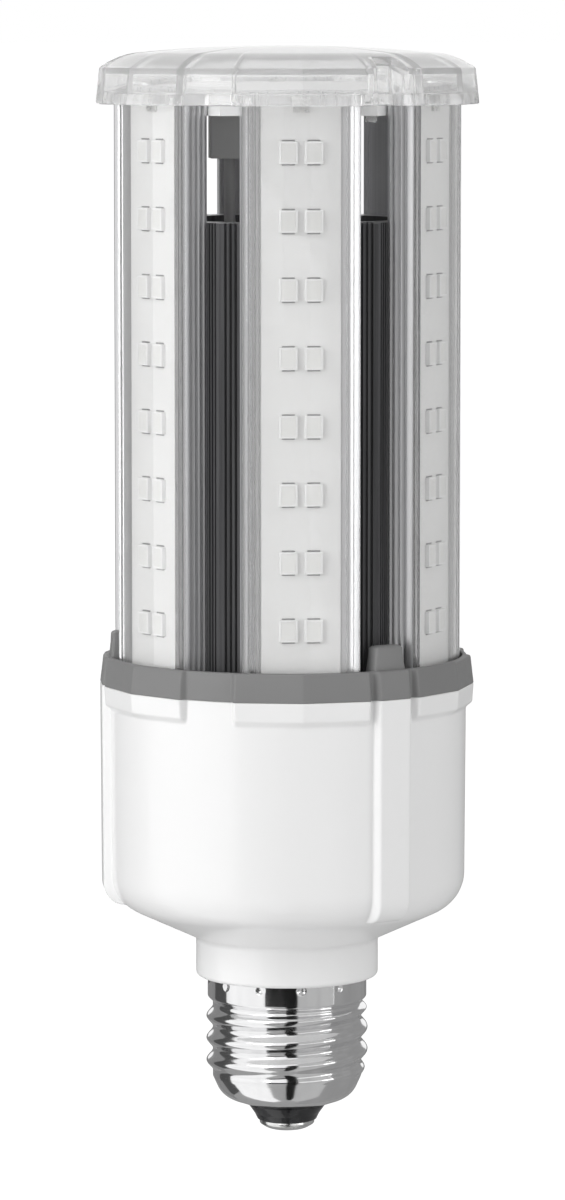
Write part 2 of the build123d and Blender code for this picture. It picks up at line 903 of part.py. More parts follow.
def can(x, y, radius, height):
    """Capacitor can with a crimp near its foot and a rounded shoulder."""
    crimp = capacitor_crimp_height
    waist = radius - capacitor_crimp_depth
    with BuildPart(Plane((x, y, driver_board_top))) as body:
        with BuildSketch(Plane((x, y, driver_board_top), x_dir=(1, 0, 0), z_dir=(0, -1, 0))):
            with BuildLine():
                Polyline(
                    (0, 0),
                    (radius, 0),
                    (radius, crimp - capacitor_crimp_depth),
                    (waist, crimp),
                    (radius, crimp + capacitor_crimp_depth),
                    (radius, height),
                    (0, height),
                    close=True,
                )
            make_face()
        revolve(axis=Axis((x, y, 0), (0, 0, 1)))
        fillet(body.edges().group_by(Axis.Z)[-1], capacitor_crimp_depth)
    return body.part


input_capacitor = can(
    input_capacitor_x, input_capacitor_y, input_capacitor_radius, input_capacitor_height
)
save(input_capacitor, "input_capacitor")
output_capacitor = can(
    output_capacitor_x, output_capacitor_y, output_capacitor_radius, output_capacitor_height
)
save(output_capacitor, "output_capacitor")

# Transformer: ferrite core with a middle leg and the winding round that leg
transformer_plane = Plane((transformer_x, transformer_y, driver_board_top))
window_width = (transformer_length - 2 * transformer_yoke - transformer_leg) / 2
window_height = transformer_height - 2 * transformer_yoke
with BuildPart(transformer_plane) as transformer_core:
    Box(
        transformer_length,
        transformer_depth,
        transformer_height,
        align=(Align.CENTER, Align.CENTER, Align.MIN),
    )
    with Locations((0, 0, transformer_yoke)):
        with GridLocations(transformer_leg + window_width, 0, 2, 1):
            Box(
                window_width,
                transformer_depth,
                window_height,
                align=(Align.CENTER, Align.CENTER, Align.MIN),
                mode=Mode.SUBTRACT,
            )
transformer_core.part.label = "transformer_core"
export_step(transformer_core.part, "parts/transformer_core.step")

with BuildPart(transformer_plane) as transformer_winding:
    with BuildSketch(transformer_plane.offset(transformer_yoke)):
        RectangleRounded(
            transformer_leg + 2 * (window_width - play),
            transformer_depth + 2 * winding_overhang,
            winding_overhang,
        )
        Rectangle(
            transformer_leg + play, transformer_depth + play, mode=Mode.SUBTRACT
        )
    extrude(amount=window_height)
transformer_winding.part.label = "transformer_winding"
export_step(transformer_winding.part, "parts/transformer_winding.step")

# Filter choke: drum core and its winding
with BuildPart() as choke_core:
    with Locations((choke_x, choke_y, driver_board_top)):
        Cylinder(choke_radius, choke_height, align=(Align.CENTER, Align.CENTER, Align.MIN))
    with BuildSketch(Plane((choke_x, choke_y, driver_board_top + choke_flange))):
        Circle(choke_radius)
        Circle(choke_waist_radius, mode=Mode.SUBTRACT)
    extrude(amount=choke_height - 2 * choke_flange, mode=Mode.SUBTRACT)
choke_core.part.label = "choke_core"
export_step(choke_core.part, "parts/choke_core.step")

with BuildPart() as choke_winding:
    with BuildSketch(Plane((choke_x, choke_y, driver_board_top + choke_flange))):
        Circle(choke_radius - 2 * play)
        Circle(choke_waist_radius + play, mode=Mode.SUBTRACT)
    extrude(amount=choke_height - 2 * choke_flange)
choke_winding.part.label = "choke_winding"
export_step(choke_winding.part, "parts/choke_winding.step")

# Plain moulded components
film_capacitor = block(
    film_capacitor_x,
    film_capacitor_y,
    film_capacitor_length,
    film_capacitor_width,
    film_capacitor_height,
    edge=film_capacitor_edge,
)
save(film_capacitor, "film_capacitor")
bridge_rectifier = block(
    rectifier_x, rectifier_y, rectifier_length, rectifier_width, rectifier_height
)
save(bridge_rectifier, "bridge_rectifier")

# Fuse: ceramic body between two metal end caps, lying on the board
with BuildPart() as fuse:
    middle = Plane(
        (fuse_x - fuse_length / 2, fuse_y, driver_board_top + fuse_radius),
        x_dir=(0, 1, 0),
        z_dir=(1, 0, 0),
    )
    with BuildSketch(middle):
        Circle(fuse_radius)
    extrude(amount=fuse_cap_length)
    with BuildSketch(middle.offset(fuse_cap_length)):
        Circle(fuse_radius - play)
    extrude(amount=fuse_length - 2 * fuse_cap_length)
    with BuildSketch(middle.offset(fuse_length - fuse_cap_length)):
        Circle(fuse_radius)
    extrude(amount=fuse_cap_length)
fuse.part.label = "fuse"
export_step(fuse.part, "parts/fuse.step")

# Varistor: rounded disc on edge
with BuildPart() as varistor:
    with BuildSketch(
        Plane(
            (varistor_x, varistor_y, driver_board_top + varistor_radius),
            x_dir=(1, 0, 0),
            z_dir=(0, 1, 0),
        )
    ):
        Circle(varistor_radius)
    extrude(amount=varistor_thickness / 2, both=True)
    fillet(varistor.edges().filter_by(GeomType.CIRCLE), varistor_edge_radius)
varistor.part.label = "varistor"
export_step(varistor.part, "parts/varistor.step")

# Switching transistor: moulded body with its cooling tab
with BuildPart() as switching_transistor:
    with Locations((transistor_x, transistor_y, driver_board_top)):
        Box(
            transistor_thickness,
            transistor_width,
            transistor_height,
            align=(Align.MAX, Align.CENTER, Align.MIN),
        )
        Box(
            transistor_tab_thickness,
            transistor_width,
            transistor_tab_height,
            align=(Align.MAX, Align.CENTER, Align.MIN),
        )
    tab_hole_height = (transistor_height + transistor_tab_height) / 2
    with Locations(
        Plane(
            (transistor_x, transistor_y, driver_board_top + tab_hole_height),
            x_dir=(0, 1, 0),
            z_dir=(1, 0, 0),
        )
    ):
        Hole(transistor_tab_hole_radius, 2 * transistor_tab_thickness)
switching_transistor.part.label = "switching_transistor"
export_step(switching_transistor.part, "parts/switching_transistor.step")

# Live lead: straight up from the contact's shank to the driver board
contact_top = contact_head_height + contact_shank_length
live_lead_foot = contact_top - contact_bore_depth + play
with BuildPart() as live_lead:
    with BuildSketch(Plane.XY.offset(live_lead_foot)):
        Circle(lead_radius)
    extrude(amount=driver_board_foot - live_lead_foot)
live_lead.part.label = "live_lead"
export_step(live_lead.part, "parts/live_lead.step")

# Neutral lead: down the neck and out under the spigot to the shell
with BuildPart() as neutral_lead:
    with BuildLine() as neutral_path:
        FilletPolyline(
            (neutral_lead_x, 0, driver_board_foot),
            (neutral_lead_x, 0, neutral_lead_height),
            (-neutral_lead_reach, 0, neutral_lead_height),
            radius=lead_bend_radius,
        )
    with BuildSketch(Plane((neutral_lead_x, 0, driver_board_foot))):
        Circle(lead_radius)
    sweep(path=neutral_path.line)
neutral_lead.part.label = "neutral_lead"
export_step(neutral_lead.part, "parts/neutral_lead.step")

# Output leads: up through the core to the connector under the junction board
with BuildPart() as output_leads:
    for side in (-1, 1):
        foot_x = output_lead_x + side * output_lead_spacing / 2
        head_x = connector_x + side * output_lead_spacing / 2
        bend_foot = driver_board_top + output_lead_straight
        bend_head = connector_foot - output_lead_run
        with BuildLine() as output_path:
            FilletPolyline(
                (foot_x, output_lead_y, driver_board_top),
                (foot_x, output_lead_y, bend_foot),
                (head_x, connector_y, bend_head),
                (head_x, connector_y, connector_foot),
                radius=output_lead_bend_radius,
            )
        with BuildSketch(Plane((foot_x, output_lead_y, driver_board_top))) as wire:
            Circle(output_lead_radius)
        sweep(wire.sketch, path=output_path.line)
output_leads.part.label = "output_leads"
export_step(output_leads.part, "parts/output_leads.step")


def pan_screws(seat, circle_radius, length):
    """Three cross-recess screws: heads stand up from a plane and shanks go down through it."""
    with BuildPart() as screws:
        with BuildSketch(seat) as heads:
            with PolarLocations(circle_radius, tab_count):
                Circle(screw_head_radius)
        extrude(heads.sketch, amount=screw_head_height)
        rims = screws.edges().filter_by(GeomType.CIRCLE).group_by(Axis(seat.origin, seat.z_dir))
        fillet(rims[-1], screw_edge_radius)
        with BuildSketch(seat.offset(screw_head_height)) as recesses:
            with PolarLocations(circle_radius, tab_count):
                Rectangle(2 * screw_radius, screw_recess_width)
                Rectangle(screw_recess_width, 2 * screw_radius)
        extrude(recesses.sketch, amount=-screw_recess_depth, mode=Mode.SUBTRACT)
        with BuildSketch(seat) as shanks:
            with PolarLocations(circle_radius, tab_count):
                Circle(screw_radius)
        extrude(shanks.sketch, amount=-length)
    return screws.part


save(
    pan_screws(tab_plane(0, driver_board_top), post_circle_radius, driver_screw_length),
    "driver_screws",
)
floor_underside = Plane((0, 0, floor_foot), x_dir=tab_plane(0, 0).x_dir, z_dir=(0, 0, -1))
save(pan_screws(floor_underside, screw_circle_radius, collar_screw_length), "collar_screws")
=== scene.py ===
"""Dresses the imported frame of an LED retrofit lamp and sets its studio. Lengths are in metres."""
from math import atan2, cos, pi, radians, sin, sqrt, tan

import bmesh
import bpy
from bpy.props import FloatProperty, FloatVectorProperty, IntProperty, PointerProperty
from bpy.types import Operator, Panel, PropertyGroup
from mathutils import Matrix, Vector


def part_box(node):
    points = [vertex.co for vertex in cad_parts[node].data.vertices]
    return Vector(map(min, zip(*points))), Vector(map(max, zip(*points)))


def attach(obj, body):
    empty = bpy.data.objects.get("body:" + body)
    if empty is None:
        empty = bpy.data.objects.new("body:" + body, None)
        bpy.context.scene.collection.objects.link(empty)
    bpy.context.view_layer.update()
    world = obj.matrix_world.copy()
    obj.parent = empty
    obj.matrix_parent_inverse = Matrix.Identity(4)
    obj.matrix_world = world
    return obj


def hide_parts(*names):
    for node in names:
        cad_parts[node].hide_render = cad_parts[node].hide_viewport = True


bl_info = {
    "name": "LED Retrofit Lamp",
    "version": (1, 0, 0),
    "blender": (4, 5, 0),
    "location": "View3D > Sidebar > Lamp",
    "description": "Finishes, detailed pieces and studio for an LED lamp with a screw base",
    "category": "Add Mesh",
}

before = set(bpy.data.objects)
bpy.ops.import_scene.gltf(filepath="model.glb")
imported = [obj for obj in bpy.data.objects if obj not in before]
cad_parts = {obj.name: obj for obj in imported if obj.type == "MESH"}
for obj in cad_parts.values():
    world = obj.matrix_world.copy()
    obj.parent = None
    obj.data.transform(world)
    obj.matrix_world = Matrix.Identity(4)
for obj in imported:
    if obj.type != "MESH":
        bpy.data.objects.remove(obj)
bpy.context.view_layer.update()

MM = 0.001
PLAIN = (1.0, 1.0, 1.0)  # stretch of a noise that isn't drawn out
BODY = "root"
SEGMENT_COUNT = 6
TAB_COUNT = 3
FRONT_ANGLE = -90.0
SEGMENT_STEP = 360.0 / SEGMENT_COUNT
TAB_ANGLE = FRONT_ANGLE + SEGMENT_STEP / 2
SEGMENT_ANGLES = [FRONT_ANGLE + index * SEGMENT_STEP for index in range(SEGMENT_COUNT)]
TAB_ANGLES = [TAB_ANGLE + index * 360.0 / TAB_COUNT for index in range(TAB_COUNT)]

# Seats, read from the frame
contact_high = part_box("centre_contact")[1]
insulator_low, insulator_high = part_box("base_insulator")
shell_low, shell_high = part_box("screw_shell")
housing_low, housing_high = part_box("driver_housing")
ring_low, ring_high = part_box("collar_ring")
channel_low, channel_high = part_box("segment_channel_1")
board_low, board_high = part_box("led_board_1")
chips_low, chips_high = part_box("led_chips_1")
cap_low, cap_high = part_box("top_cap")
CONTACT_HEAD_TOP = insulator_low.z
CONTACT_HEAD_RADIUS = contact_high.x
CONTACT_SHANK_TOP = contact_high.z
INSULATOR_TOP = insulator_high.z
SHELL_FOOT = shell_low.z
SHELL_TOP = shell_high.z
SPIGOT_FOOT = housing_low.z
RING_FOOT = housing_high.z
RING_SPIGOT_FOOT = ring_low.z
TAB_TOP = ring_high.z
SEGMENT_FOOT = channel_low.z
SEGMENT_TOP = channel_high.z
SEGMENT_HALF_WIDTH = channel_high.x
CORE_FACE = -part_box("heat_sink_core")[0].y
CHANNEL_FACE = -channel_low.y
BOARD_FACE = -board_low.y
BOARD_BACK = -board_high.y
BOARD_HALF_WIDTH = board_high.x
BOARD_TOP = board_high.z
CHIP_FACE = -chips_low.y
CHIP_FOOT = chips_low.z
CHIP_TOP = chips_high.z
CHIP_REACH = chips_high.x
COVER_RADIUS = -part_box("segment_cover_1")[0].y
CAP_PIN_FOOT = cap_low.z
CAP_TOP = cap_high.z


def length(name, default, description):
    """A length property in metres."""
    return FloatProperty(
        name=name, description=description, default=default, unit="LENGTH", precision=5
    )


def colour(name, default, description):
    """A colour property."""
    return FloatVectorProperty(
        name=name, description=description, default=default, subtype="COLOR", size=3, min=0, max=1
    )


def shine(name, default, description):
    """A roughness property between 0 and 1."""
    return FloatProperty(
        name=name, description=description, default=default, min=0, max=1, subtype="FACTOR"
    )


def whole(name, default, description):
    """A whole number of at least one."""
    return IntProperty(name=name, description=description, default=default, min=1)


def figure(name, default, description):
    """A plain number, such as an angle in degrees or a power in watts."""
    return FloatProperty(name=name, description=description, default=default)


class LampShellSettings(PropertyGroup):
    """Rolled screw shell, insulator and contact."""

    crest_radius: length("Crest Radius", 13.1 * MM, "Radius over the thread's crests")
    root_radius: length("Root Radius", 12.05 * MM, "Radius at the thread's roots")
    pitch: length("Pitch", 3.629 * MM, "Rise of the thread in one turn")
    thread_foot: length("Thread Start", 8.9 * MM, "Height where the thread starts")
    thread_top: length("Thread End", 21.4 * MM, "Height where the thread ends")
    wall: length("Wall", 0.4 * MM, "Thickness of the rolled sheet")
    skirt_radius: length("Skirt Radius", 12.89 * MM, "Radius of the plain skirt")
    skirt_length: length("Skirt Length", 3.5 * MM, "Length of the plain skirt")
    dome_height: length("Dome Height", 5.5 * MM, "Height of the domed shoulder")
    dome_foot_radius: length("Dome Foot Radius", 6.4 * MM, "Radius where the shoulder starts")
    hole_radius: length("Hole Radius", 5.6 * MM, "Radius of the hole for the insulator")
    dimple_radius: length("Dimple Radius", 0.7 * MM, "Radius of a staking dimple")
    dimple_depth: length("Dimple Depth", 0.3 * MM, "Depth of a staking dimple")
    dimple_drop: length("Dimple Drop", 0.7 * MM, "Distance of the dimples from the skirt's edge")
    dimple_count: whole("Dimples", 12, "Number of staking dimples")
    first_dimple: figure("First Dimple", -84.4, "Angle of the first dimple in degrees")
    contact_shank: length("Contact Shank", 1.6 * MM, "Radius of the contact's shank")


class LampHousingSettings(PropertyGroup):
    """White driver housing."""

    neck_radius: length("Neck Radius", 14.75 * MM, "Radius of the neck")
    neck_length: length("Neck Length", 6.4 * MM, "Length of the neck above the shell")
    neck_bore: length("Neck Bore", 9.5 * MM, "Radius of the bore through the neck")
    foot_radius: length("Wall Radius at the Cone", 28.7 * MM, "Radius where cone and wall meet")
    rim_radius: length("Wall Radius at the Rim", 28.9 * MM, "Radius of the wall at its rim")
    cone_rise: length("Cone Rise", 6.49 * MM, "Height of the cone")
    cone_round: length("Cone Round", 6.4 * MM, "Radius between cone and wall")
    wall: length("Wall", 2.0 * MM, "Thickness of the wall")
    pad_radius: length("Pad Radius", 30.2 * MM, "Radius over the pads")
    pad_height: length("Pad Height", 3.0 * MM, "Height of the pads below the rim")
    pad_chamfer: length("Pad Chamfer", 0.9 * MM, "Height of the slope under a pad")
    rib_radius: length("Rib Radius", 30.0 * MM, "Radius of a rib at its ledge")
    rib_foot_round: length("Rib Foot Round", 3.6 * MM, "Radius at the foot of a rib")
    rib_ledge: length("Rib Ledge", 5.6 * MM, "Height of the ribs' ledge above the cone's foot")


class LampCollarSettings(PropertyGroup):
    """Grey collar ring."""

    height: length("Height", 4.6 * MM, "Height of the ring's outer wall")
    lobe_radius: length("Lobe Radius", 30.2 * MM, "Radius over the lobes at the foot")
    gap_radius: length("Gap Radius", 29.15 * MM, "Radius between the lobes at the foot")
    draft: length("Draft", 0.55 * MM, "Amount by which the lobes lean in")
    trough_radius: length("Trough Radius", 28.2 * MM, "Radius inside the wall")
    floor: length("Floor", 2.0 * MM, "Thickness of the floor")
    bore_radius: length("Bore Radius", 12.0 * MM, "Radius of the hole in the floor")
    spigot_radius: length("Spigot Radius", 26.6 * MM, "Radius of the spigot in the housing")
    spigot_wall: length("Spigot Wall", 1.7 * MM, "Thickness of the spigot")
    tab_thickness: length("Tab Thickness", 3.3 * MM, "Thickness of a tab at its foot")
    tab_foot: length("Tab Foot", 3.4 * MM, "Half width of a tab at its foot")
    tab_top: length("Tab Top", 2.4 * MM, "Half width of a tab at its top")
    tab_seat: length("Tab Seat", 0.6 * MM, "Depth by which a tab is rooted in the ring")


class LampSegmentSettings(PropertyGroup):
    """Channel, board, chips and cover of one segment."""

    channel_wall: length("Channel Wall", 1.2 * MM, "Thickness of the channel's sides")
    channel_base: length("Channel Base", 2.6 * MM, "Thickness of the channel's base")
    groove_count: whole("Grooves", 3, "Number of grooves in each side")
    groove_size: length("Groove Size", 0.34 * MM, "Half width of a groove in the sides")
    groove_pitch: length("Groove Pitch", 1.0 * MM, "Distance between grooves")
    first_groove: length("First Groove", 0.9 * MM, "Distance of the first groove from the core")
    cover_wall: length("Cover Wall", 1.0 * MM, "Thickness of the clear cover")
    leg_width: length("Leg Width", 1.1 * MM, "Width of the cover's legs")
    chip_width: length("Chip Width", 2.8 * MM, "Width of a chip")
    chip_length: length("Chip Length", 3.5 * MM, "Length of a chip")
    chip_rows: whole("Rows", 8, "Rows of chips")
    window_border: length("Frame Border", 0.3 * MM, "Width of the chip's frame")
    window_depth: length("Window Depth", 0.08 * MM, "Depth of the window in the frame")


class LampCapSettings(PropertyGroup):
    """Clear domed cap."""

    overlap: length("Overlap", 1.7 * MM, "Height by which the cap covers the segments")
    lobe_radius: length("Lobe Radius", 30.8 * MM, "Radius over the lobes at the foot")
    gap_radius: length("Gap Radius", 29.6 * MM, "Radius between the lobes at the foot")
    notch_radius: length("Notch Radius", 26.4 * MM, "Radius at the floor of a deep notch")
    notch_half_width: length("Notch Half Width", 1.95 * MM, "Half width of a deep notch")
    web_radius: length("Web Radius", 21.9 * MM, "Radius inside the web")
    wall: length("Wall", 2.0 * MM, "Thickness of the wall and the dome")
    crown_radius: length("Crown Radius", 24.0 * MM, "Radius of the flat part of the dome")
    crown_drop: length("Crown Drop", 1.15 * MM, "Drop of the dome at the crown's edge")
    edge_radius: length("Edge Radius", 30.3 * MM, "Radius at the dome's edge")
    edge_drop: length("Edge Drop", 3.6 * MM, "Drop of the dome at its edge")
    pin_radius: length("Pin Radius", 1.0 * MM, "Radius of a pin that holds the junction board")
    pin_circle: length("Pin Circle", 22.9 * MM, "Distance of the pins from the axis")


class LampFinishSettings(PropertyGroup):
    """Colours and shine of the finishes."""

    shell: colour("Shell", (0.90, 0.90, 0.905), "Nickel plate")
    insulator: colour("Insulator", (0.012, 0.012, 0.013), "Black glass")
    housing: colour("Housing", (0.81, 0.81, 0.81), "White moulding")
    collar: colour("Collar", (0.192, 0.192, 0.192), "Grey moulding")
    channel: colour("Channel", (0.68, 0.68, 0.69), "Bare aluminium")
    core: colour("Core", (0.115, 0.115, 0.119), "Dark anodised aluminium")
    board: colour("Board", (0.77, 0.77, 0.765), "White solder mask")
    chip: colour("Chip Frame", (0.84, 0.84, 0.84), "White chip frame")
    window: colour("Chip Window", (0.75, 0.75, 0.735), "Pale phosphor")
    clear: colour("Clear Plastic", (0.97, 0.97, 0.97), "Clear polycarbonate")
    housing_roughness: shine("Housing Roughness", 0.3, "Roughness of the white moulding")
    collar_roughness: shine("Collar Roughness", 0.5, "Roughness of the grey moulding")


class LampStudioSettings(PropertyGroup):
    """Camera and lights."""

    azimuth: figure("Azimuth", -4.9, "Camera's angle round the lamp in degrees")
    pitch: figure("Pitch", 6.0, "Angle by which the camera looks down in degrees")
    distance: length("Distance", 885 * MM, "Level distance of the camera from the axis")
    height: length("Height", 179.6 * MM, "Height of the camera")
    lens: figure("Lens", 165.6, "Focal length for a sensor of 36 mm")
    axis_pixel: figure("Axis Pixel", 287.0, "Column of the photograph where the axis is")
    world_strength: figure("World", 0.52, "Strength of the world's light on the lamp")
    through_strength: figure("Through", 0.78, "Backdrop's strength seen through clear parts")
    key_power: figure("Key", 6.9, "Power of the left softbox in watts")
    fill_power: figure("Fill", 2.8, "Power of the right softbox in watts")
    floor_drop: length("Floor Drop", 160 * MM, "Distance of the floor below the contact")


def near(angle, centre):
    """Signed difference between two angles in degrees, from -180 to 180."""
    return (angle - centre + 180.0) % 360.0 - 180.0


def column_angles(features, coarse=3.0, fine=0.3):
    """Angles round the axis: coarse steps, with fine ones round each (centre, half span)."""
    angles = set()
    for centre, span in features:
        steps = round(span / fine)
        for step in range(-steps, steps + 1):
            angles.add(round((centre + step * fine) % 360.0, 2))
    for step in range(int(360.0 / coarse)):
        angle = step * coarse
        if all(abs(near(angle, centre)) > span + fine for centre, span in features):
            angles.add(round(angle, 2))
    ordered = sorted(angles)
    kept = [ordered[0]]
    for angle in ordered[1:]:
        if angle - kept[-1] > fine / 3:
            kept.append(angle)
    return kept


def softened(function, place, reach=0.4):
    """Mean of a function over a short reach of angle or height, which rounds its corners."""
    offsets = (-1.0, -0.5, 0.0, 0.5, 1.0)
    return sum(function(place + offset * reach) for offset in offsets) / len(offsets)


def eased(share):
    """Smooth step from 0 to 1."""
    share = min(max(share, 0.0), 1.0)
    return share * share * (3 - 2 * share)


def lobed(angle, ridge_radius, gap_radius, half_angle=21.0, side_angle=1.2):
    """Outline with one lobe over each segment: two flats that meet in a low ridge."""
    offset = abs(near(angle, SEGMENT_ANGLES[0])) % SEGMENT_STEP
    offset = min(offset, SEGMENT_STEP - offset)
    flat = ridge_radius * cos(radians(half_angle / 2))
    if offset <= half_angle:
        return max(flat / cos(radians(offset - half_angle / 2)), gap_radius)
    share = min((offset - half_angle) / side_angle, 1.0)
    return ridge_radius + share * (gap_radius - ridge_radius)


def ribbed(angle, rib_radius, wall_radius, half_angle=5.5, side_angle=1.2):
    """Outline with one rib in line with each tab."""
    offset = min(abs(near(angle, centre)) for centre in TAB_ANGLES)
    if offset <= half_angle:
        return rib_radius * cos(radians(half_angle)) / cos(radians(offset))
    share = min((offset - half_angle) / side_angle, 1.0)
    return rib_radius + share * (wall_radius - rib_radius)


def rounded_path(corners, closed=False, steps=5):
    """Points along corners (x, y, radius), where each radius rounds its corner by an arc."""
    points = []
    count = len(corners)
    for index, (x, y, radius) in enumerate(corners):
        here = Vector((x, y))
        before = Vector(corners[index - 1][:2])
        after = Vector(corners[(index + 1) % count][:2])
        open_end = not closed and index in (0, count - 1)
        if open_end or radius == 0:
            points.append(here)
            continue
        back = before - here
        ahead = after - here
        half = back.angle(ahead, pi) / 2
        reach = min(radius / tan(half), 0.49 * back.length, 0.49 * ahead.length)
        if abs(half - pi / 2) < 1e-3 or reach < 1e-7:
            points.extend([here] * (steps + 1))
            continue
        start = here + back.normalized() * reach
        end = here + ahead.normalized() * reach
        centre = here + (back.normalized() + ahead.normalized()).normalized() * (reach / cos(half))
        first = atan2(start.y - centre.y, start.x - centre.x)
        turn = atan2(end.y - centre.y, end.x - centre.x) - first
        turn = (turn + pi) % (2 * pi) - pi
        size = (start - centre).length
        for step in range(steps + 1):
            at = first + turn * step / steps
            points.append(centre + Vector((cos(at), sin(at))) * size)
    return points


def finish_piece(name, vertices, faces, materials, node, sharp_angle=40.0, groups=None):
    """Makes a piece from mesh data, shades it smooth with sharp creases and seats it."""
    mesh = bpy.data.meshes.new(name)
    mesh.from_pydata(vertices, [], faces)
    for material in materials:
        mesh.materials.append(material)
    if groups:
        mesh.polygons.foreach_set("material_index", groups)
    work = bmesh.new()
    work.from_mesh(mesh)
    bmesh.ops.remove_doubles(work, verts=work.verts, dist=1e-7)
    bmesh.ops.recalc_face_normals(work, faces=work.faces)
    for face in work.faces:
        face.smooth = True
    limit = radians(sharp_angle)
    for edge in work.edges:
        edge.smooth = len(edge.link_faces) == 2 and edge.calc_face_angle(0.0) < limit
    work.to_mesh(mesh)
    work.free()
    piece = bpy.data.objects.new(name, mesh)
    bpy.context.scene.collection.objects.link(piece)
    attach(piece, BODY)
    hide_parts(node)


def lathe(angles, section):
    """Vertices and faces turned round the axis; section(angle) gives (radius, height) points."""
    vertices = []
    columns = []
    poles = {}
    for angle in angles:
        column = []
        turn = radians(angle)
        for row, (radius, height) in enumerate(section(angle)):
            if radius < 1e-8:
                if row not in poles:
                    poles[row] = len(vertices)
                    vertices.append((0.0, 0.0, height))
                column.append(poles[row])
            else:
                column.append(len(vertices))
                vertices.append((radius * cos(turn), radius * sin(turn), height))
        columns.append(column)
    rows = len(columns[0])
    last = rows - 1 if poles else rows
    faces = []
    for index, column in enumerate(columns):
        following = columns[(index + 1) % len(columns)]
        for row in range(last):
            up = (row + 1) % rows
            corners = []
            for corner in (column[row], following[row], following[up], column[up]):
                if corner not in corners:
                    corners.append(corner)
            if len(corners) > 2:
                faces.append(corners)
    return vertices, faces


def seated(outline, height, angle):
    """Points (out, across) of a cross-section as vertices at a height and an angle."""
    turn = radians(angle)
    return [
        (out * cos(turn) - across * sin(turn), out * sin(turn) + across * cos(turn), height)
        for out, across in outline
    ]


def stack(rings):
    """Vertices and faces of rings of points laid one over the other and closed at both ends."""
    count = len(rings[0])
    top = (len(rings) - 1) * count
    vertices = [point for ring in rings for point in ring]
    faces = [list(range(count))[::-1], list(range(top, top + count))]
    for first in range(0, top, count):
        for index in range(count):
            near_side, far_side = first + index, first + (index + 1) % count
            faces.append([near_side, far_side, far_side + count, near_side + count])
    return vertices, faces


def prism(outline, foot, top, angle):
    """Vertices and faces of a cross-section (out, across) carried upwards at an angle."""
    return stack([seated(outline, height, angle) for height in (foot, top)])


def segment_pieces(name, outline, material):
    """Six like pieces of one cross-section, which stand on the collar and reach the cap."""
    for number, angle in enumerate(SEGMENT_ANGLES, 1):
        vertices, faces = prism(outline, SEGMENT_FOOT, SEGMENT_TOP, angle)
        node = f"segment_{name}_{number}"
        finish_piece(f"{name}_{number}", vertices, faces, [material], node, 30.0)


def block(corner, size, edge, steps=2):
    """Vertices and faces of a small block with rounded edges, from its lowest corner."""
    work = bmesh.new()
    bmesh.ops.create_cube(work, size=1.0)
    for vertex in work.verts:
        for axis in range(3):
            vertex.co[axis] = corner[axis] + (vertex.co[axis] + 0.5) * size[axis]
    bmesh.ops.bevel(work, geom=work.edges[:], offset=edge, segments=steps, affect="EDGES")
    work.verts.ensure_lookup_table()
    work.verts.index_update()
    vertices = [tuple(vertex.co) for vertex in work.verts]
    faces = [[vertex.index for vertex in face.verts] for face in work.faces]
    work.free()
    return vertices, faces


def joined(parts):
    """One set of vertices and faces from several."""
    vertices = []
    faces = []
    for part_vertices, part_faces in parts:
        start = len(vertices)
        vertices.extend(part_vertices)
        faces.extend([[start + corner for corner in face] for face in part_faces])
    return vertices, faces


def edge_angles():
    """Angles that need fine steps: the lobes' ridges and sides and the ribs' sides."""
    angles = [(centre, 1.5) for centre in SEGMENT_ANGLES]
    angles += [(centre + side * 21.6, 1.8) for centre in SEGMENT_ANGLES for side in (-1, 1)]
    angles += [(centre + side * 6.1, 1.8) for centre in TAB_ANGLES for side in (-1, 1)]
    return column_angles(angles, 3.0, 0.3)


def turned(vertices, angle):
    """Vertices turned round the axis, from the front segment to another."""
    turn = radians(angle - FRONT_ANGLE)
    return [
        (x * cos(turn) - y * sin(turn), x * sin(turn) + y * cos(turn), z) for x, y, z in vertices
    ]


def new_material(name):
    """Material with its nodes, links and main shader."""
    material = bpy.data.materials.new(name)
    material.use_nodes = True
    tree = material.node_tree
    shader = tree.nodes["Principled BSDF"]
    return material, tree, shader


def stretched_noise(tree, scale, stretch=PLAIN, detail=4.0, roughness=0.5):
    """Noise in the piece's own coordinates, drawn out along its axes."""
    place = tree.nodes.new("ShaderNodeTexCoord")
    mapping = tree.nodes.new("ShaderNodeMapping")
    mapping.inputs["Scale"].default_value = stretch
    texture = tree.nodes.new("ShaderNodeTexNoise")
    texture.inputs["Scale"].default_value = scale
    texture.inputs["Detail"].default_value = detail
    texture.inputs["Roughness"].default_value = roughness
    tree.links.new(place.outputs["Object"], mapping.inputs["Vector"])
    tree.links.new(mapping.outputs["Vector"], texture.inputs["Vector"])
    return texture.outputs["Fac"]


def spread(tree, source, low, high):
    """Maps a noise value onto a range."""
    node = tree.nodes.new("ShaderNodeMapRange")
    node.interpolation_type = "SMOOTHSTEP"
    node.inputs["From Min"].default_value = 0.2
    node.inputs["From Max"].default_value = 0.8
    node.inputs["To Min"].default_value = low
    node.inputs["To Max"].default_value = high
    tree.links.new(source, node.inputs["Value"])
    return node.outputs["Result"]


def tinted(tree, factor, first, second):
    """Colour between two, chosen by a value."""
    node = tree.nodes.new("ShaderNodeMix")
    node.data_type = "RGBA"
    node.inputs["A"].default_value = (*first, 1.0)
    node.inputs["B"].default_value = (*second, 1.0)
    tree.links.new(factor, node.inputs["Factor"])
    return node.outputs["Result"]


def bumped(tree, shader, height, distance, strength=1.0):
    """Bump on a shader from a height value."""
    node = tree.nodes.new("ShaderNodeBump")
    node.inputs["Distance"].default_value = distance
    node.inputs["Strength"].default_value = strength
    tree.links.new(height, node.inputs["Height"])
    tree.links.new(node.outputs["Normal"], shader.inputs["Normal"])


def scaled(shade, factor):
    """Colour made lighter or darker by a factor."""
    return tuple(min(channel * factor, 1.0) for channel in shade)


